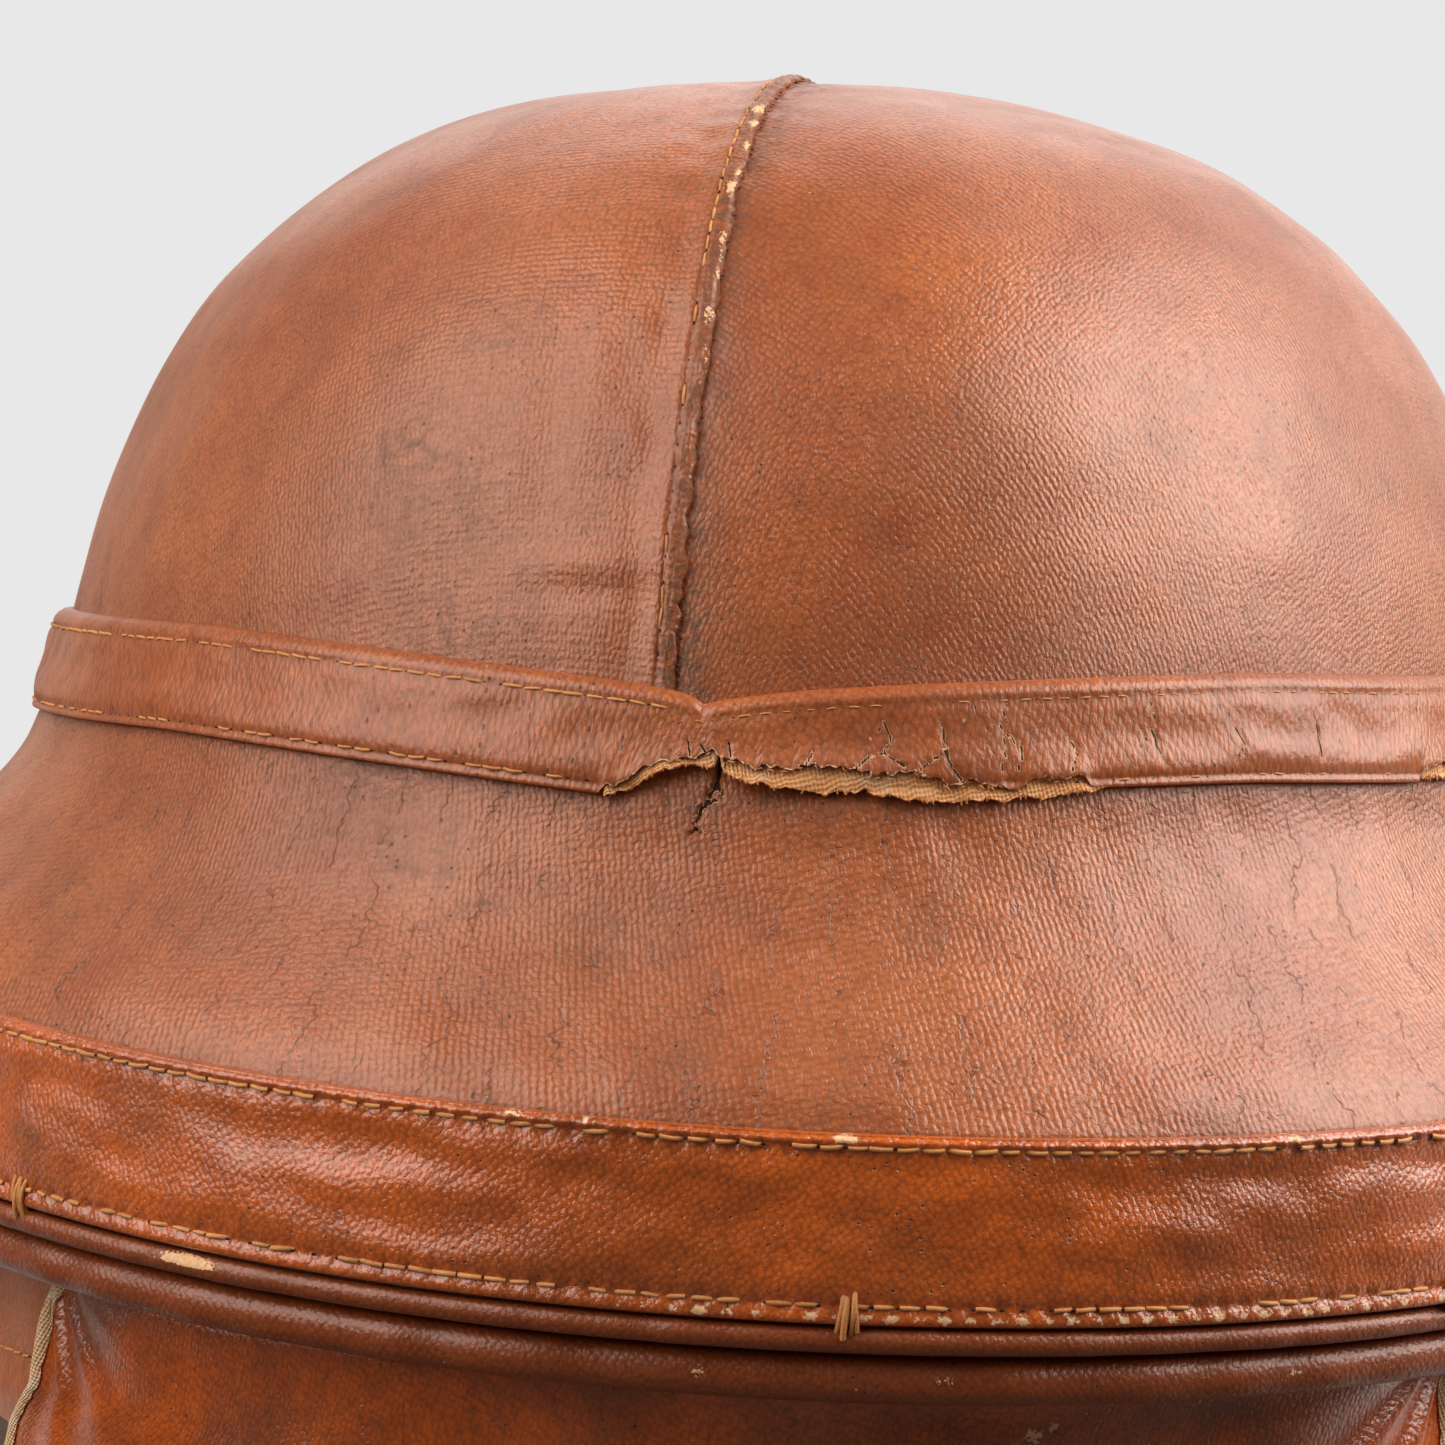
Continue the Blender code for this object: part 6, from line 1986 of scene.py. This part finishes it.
def lamp(name, turn, climb, distance, wide, high, watts):
    """A softbox at a direction from the helmet's back (positive to the wearer's left), facing it."""
    data = bpy.data.lights.new(name, "AREA")
    data.shape, data.size, data.size_y, data.energy = "RECTANGLE", wide, high, watts
    made = bpy.data.objects.new(name, data)
    bpy.context.scene.collection.objects.link(made)
    turn, climb = turn * DEG, climb * DEG
    level = math.cos(climb)
    way = Vector((math.sin(turn) * level, math.cos(turn) * level, math.sin(climb)))
    made.location = CAMERA_TARGET + way * distance
    made.rotation_mode = "QUATERNION"
    made.rotation_quaternion = way.to_track_quat("Z", "Y")


def seen_straight(g, path):
    """Whether a ray comes straight from the camera, or through something clear."""
    return g.math("ADD", path.outputs["Is Camera Ray"], path.outputs["Is Transmission Ray"])


def backdrop_world():
    """Even pale surroundings: the backdrop's own colour to the camera, and a dimmer fill elsewhere."""
    world = bpy.data.worlds.new("studio")
    bpy.context.scene.world = world
    world.use_nodes = True
    g = Graph(world.node_tree)
    path = g.node("LightPath")
    glossy = path.outputs["Is Glossy Ray"]
    seen = g.node("Background", {
        "Color": finishes().backdrop, "Strength": g.ramp(glossy, 0, 1, 1.0, WALL_GLOSS),
    })
    way = g.node("SeparateXYZ", {"Vector": g.node("TexCoord").outputs["Generated"]})
    room = g.ramp(way.outputs["Y"], -0.90, -0.35, WALL_LIGHT, ROOM_LIGHT)
    fill = g.node("Background", {"Color": linear("fbebdd"), "Strength": room})
    risen = g.math("MULTIPLY_ADD", way.outputs["Z"], -0.55, way.outputs["Y"])
    behind = g.ramp(risen, -0.96, -1.12, 0, glossy)
    both = g.math("MAXIMUM", seen_straight(g, path), behind)
    mix = g.node("MixShader", {0: both, 1: fill, 2: seen})
    g.tree.links.new(mix.outputs[0], g.tree.nodes["World Output"].inputs["Surface"])


def floor():
    """A pale painted floor that takes the helmet's shadow and fades into the backdrop further out."""
    low = CAD_BOX[0][2]
    corners = [(x * FLOOR_REACH, y * FLOOR_REACH, low) for x, y in ((-1, -1), (1, -1), (1, 1), (-1, 1))]
    mesh = bpy.data.meshes.new("floor")
    mesh.from_pydata(corners, [], [(0, 1, 2, 3)])
    made, g, shader, solid = started("matt_floor_paint")
    path = g.node("LightPath")
    beyond = g.node("SeparateXYZ", {"Vector": solid}).outputs["Y"]
    beyond = g.ramp(beyond, 0, -0.2, 0, path.outputs["Is Glossy Ray"])
    pale = g.math("MAXIMUM", seen_straight(g, path), beyond)
    paint = g.mix(pale, linear("5a5652"), linear("cdcccb"))
    g.tree.links.new(shown(paint), shader.inputs["Base Color"])
    shader.inputs["Roughness"].default_value = 0.9
    shader.inputs["Specular IOR Level"].default_value = 0.0
    glow = g.node("Emission", {"Color": finishes().backdrop, "Strength": 1.0})
    away = g.node("VectorMath", (solid,), operation="LENGTH").outputs["Value"]
    far = g.ramp(away, 0.55, 1.15, 0, path.outputs["Is Camera Ray"])
    mix = g.node("MixShader", {0: far, 1: shader, 2: glow})
    g.tree.links.new(mix.outputs[0], g.tree.nodes["Material Output"].inputs["Surface"])
    mesh.materials.append(made)
    link("floor", mesh)


# Operators

class BuildStep:
    """Builds one group of pieces with its own functions."""

    def execute(self, context):
        self.build()
        return {"FINISHED"}


class HELMET_OT_crown(BuildStep, bpy.types.Operator):
    """Build the crown's two lapped panels and their seam"""

    bl_idname = "helmet.crown"
    bl_label = "Crown cover"

    def build(self):
        crown_panel("left_crown_panel", 1, LEFT_ROWS, FINISH["crown_left"], "crown_cover_left")
        crown_panel("right_crown_panel", -1, RIGHT_ROWS, FINISH["crown_right"], "crown_cover_right")
        crown_stitches()


class HELMET_OT_band(BuildStep, bpy.types.Operator):
    """Build the hat band, its tear and its stitches"""

    bl_idname = "helmet.band"
    bl_label = "Hat band"

    def build(self):
        hat_band()
        band_stitches()
        torn_canvas("torn_canvas", CANVAS_RISE, 141)
        torn_canvas("torn_canvas_side", SECOND_CANVAS_RISE, 151)
        tear_edge_threads()


class HELMET_OT_brim(BuildStep, bpy.types.Operator):
    """Build the brim's cover, hem, binding and facing"""

    bl_idname = "helmet.brim"
    bl_label = "Brim"

    def build(self):
        brim_cover()
        hem()
        binding()
        facing()


class HELMET_OT_panels(BuildStep, bpy.types.Operator):
    """Build the neck curtain and the side yokes"""

    bl_idname = "helmet.panels"
    bl_label = "Hanging panels"

    def build(self):
        hanging_panels()


class HELMET_OT_flaps(BuildStep, bpy.types.Operator):
    """Build the ear flaps and the strap ends on them"""

    bl_idname = "helmet.flaps"
    bl_label = "Ear flaps"

    def build(self):
        ear_flaps()


class HELMET_OT_straps(BuildStep, bpy.types.Operator):
    """Build the chin strap, its keeper and its buckle"""

    bl_idname = "helmet.straps"
    bl_label = "Chin strap"

    def build(self):
        chin_straps()
        buckle()


class HELMET_OT_fitting(BuildStep, bpy.types.Operator):
    """Build the sweatband, pads and lining, and finish the cork"""

    bl_idname = "helmet.fitting"
    bl_label = "Head fitting"

    def build(self):
        head_fitting()
        for node in ("cork_shell", "brim_core"):
            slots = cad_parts[node].data.materials
            slots.clear()
            slots.append(FINISH["cork"])


class HELMET_OT_stage(BuildStep, bpy.types.Operator):
    """Set up the camera, the softboxes and the pale backdrop"""

    bl_idname = "helmet.stage"
    bl_label = "Stage"

    def build(self):
        bpy.context.scene.view_settings.view_transform = "Standard"
        camera()
        backdrop_world()
        floor()
        lamp("softbox_left", 53, 36, 1.3, 1.3, 1.6, 21)
        lamp("softbox_right", -97, 35, 1.3, 1.25, 1.2, 27)


class HELMET_PT_panel(bpy.types.Panel):
    """Sizes, colours and pieces of the helmet"""

    bl_label = "Helmet"
    bl_space_type = "VIEW_3D"
    bl_region_type = "UI"
    bl_category = "Helmet"

    def draw(self, context):
        for group in (context.scene.helmet_sizes, context.scene.helmet_finishes):
            for name in group.__annotations__:
                self.layout.prop(group, name)
        for step in STEPS:
            self.layout.operator(step.bl_idname)


STEPS = (
    HELMET_OT_crown, HELMET_OT_band, HELMET_OT_brim, HELMET_OT_panels, HELMET_OT_flaps, HELMET_OT_straps,
    HELMET_OT_fitting, HELMET_OT_stage,
)
CLASSES = (HelmetSizes, HelmetFinishes) + STEPS + (HELMET_PT_panel,)


def register():
    for kind in CLASSES:
        bpy.utils.register_class(kind)
    bpy.types.Scene.helmet_sizes = PointerProperty(type=HelmetSizes)
    bpy.types.Scene.helmet_finishes = PointerProperty(type=HelmetFinishes)


def unregister():
    del bpy.types.Scene.helmet_finishes
    del bpy.types.Scene.helmet_sizes
    for kind in reversed(CLASSES):
        bpy.utils.unregister_class(kind)


def main():
    register()
    make_finishes()
    bpy.ops.helmet.crown()
    bpy.ops.helmet.band()
    bpy.ops.helmet.brim()
    bpy.ops.helmet.panels()
    bpy.ops.helmet.flaps()
    bpy.ops.helmet.straps()
    bpy.ops.helmet.fitting()
    bpy.ops.helmet.stage()


if __name__ == "__main__":
    main()
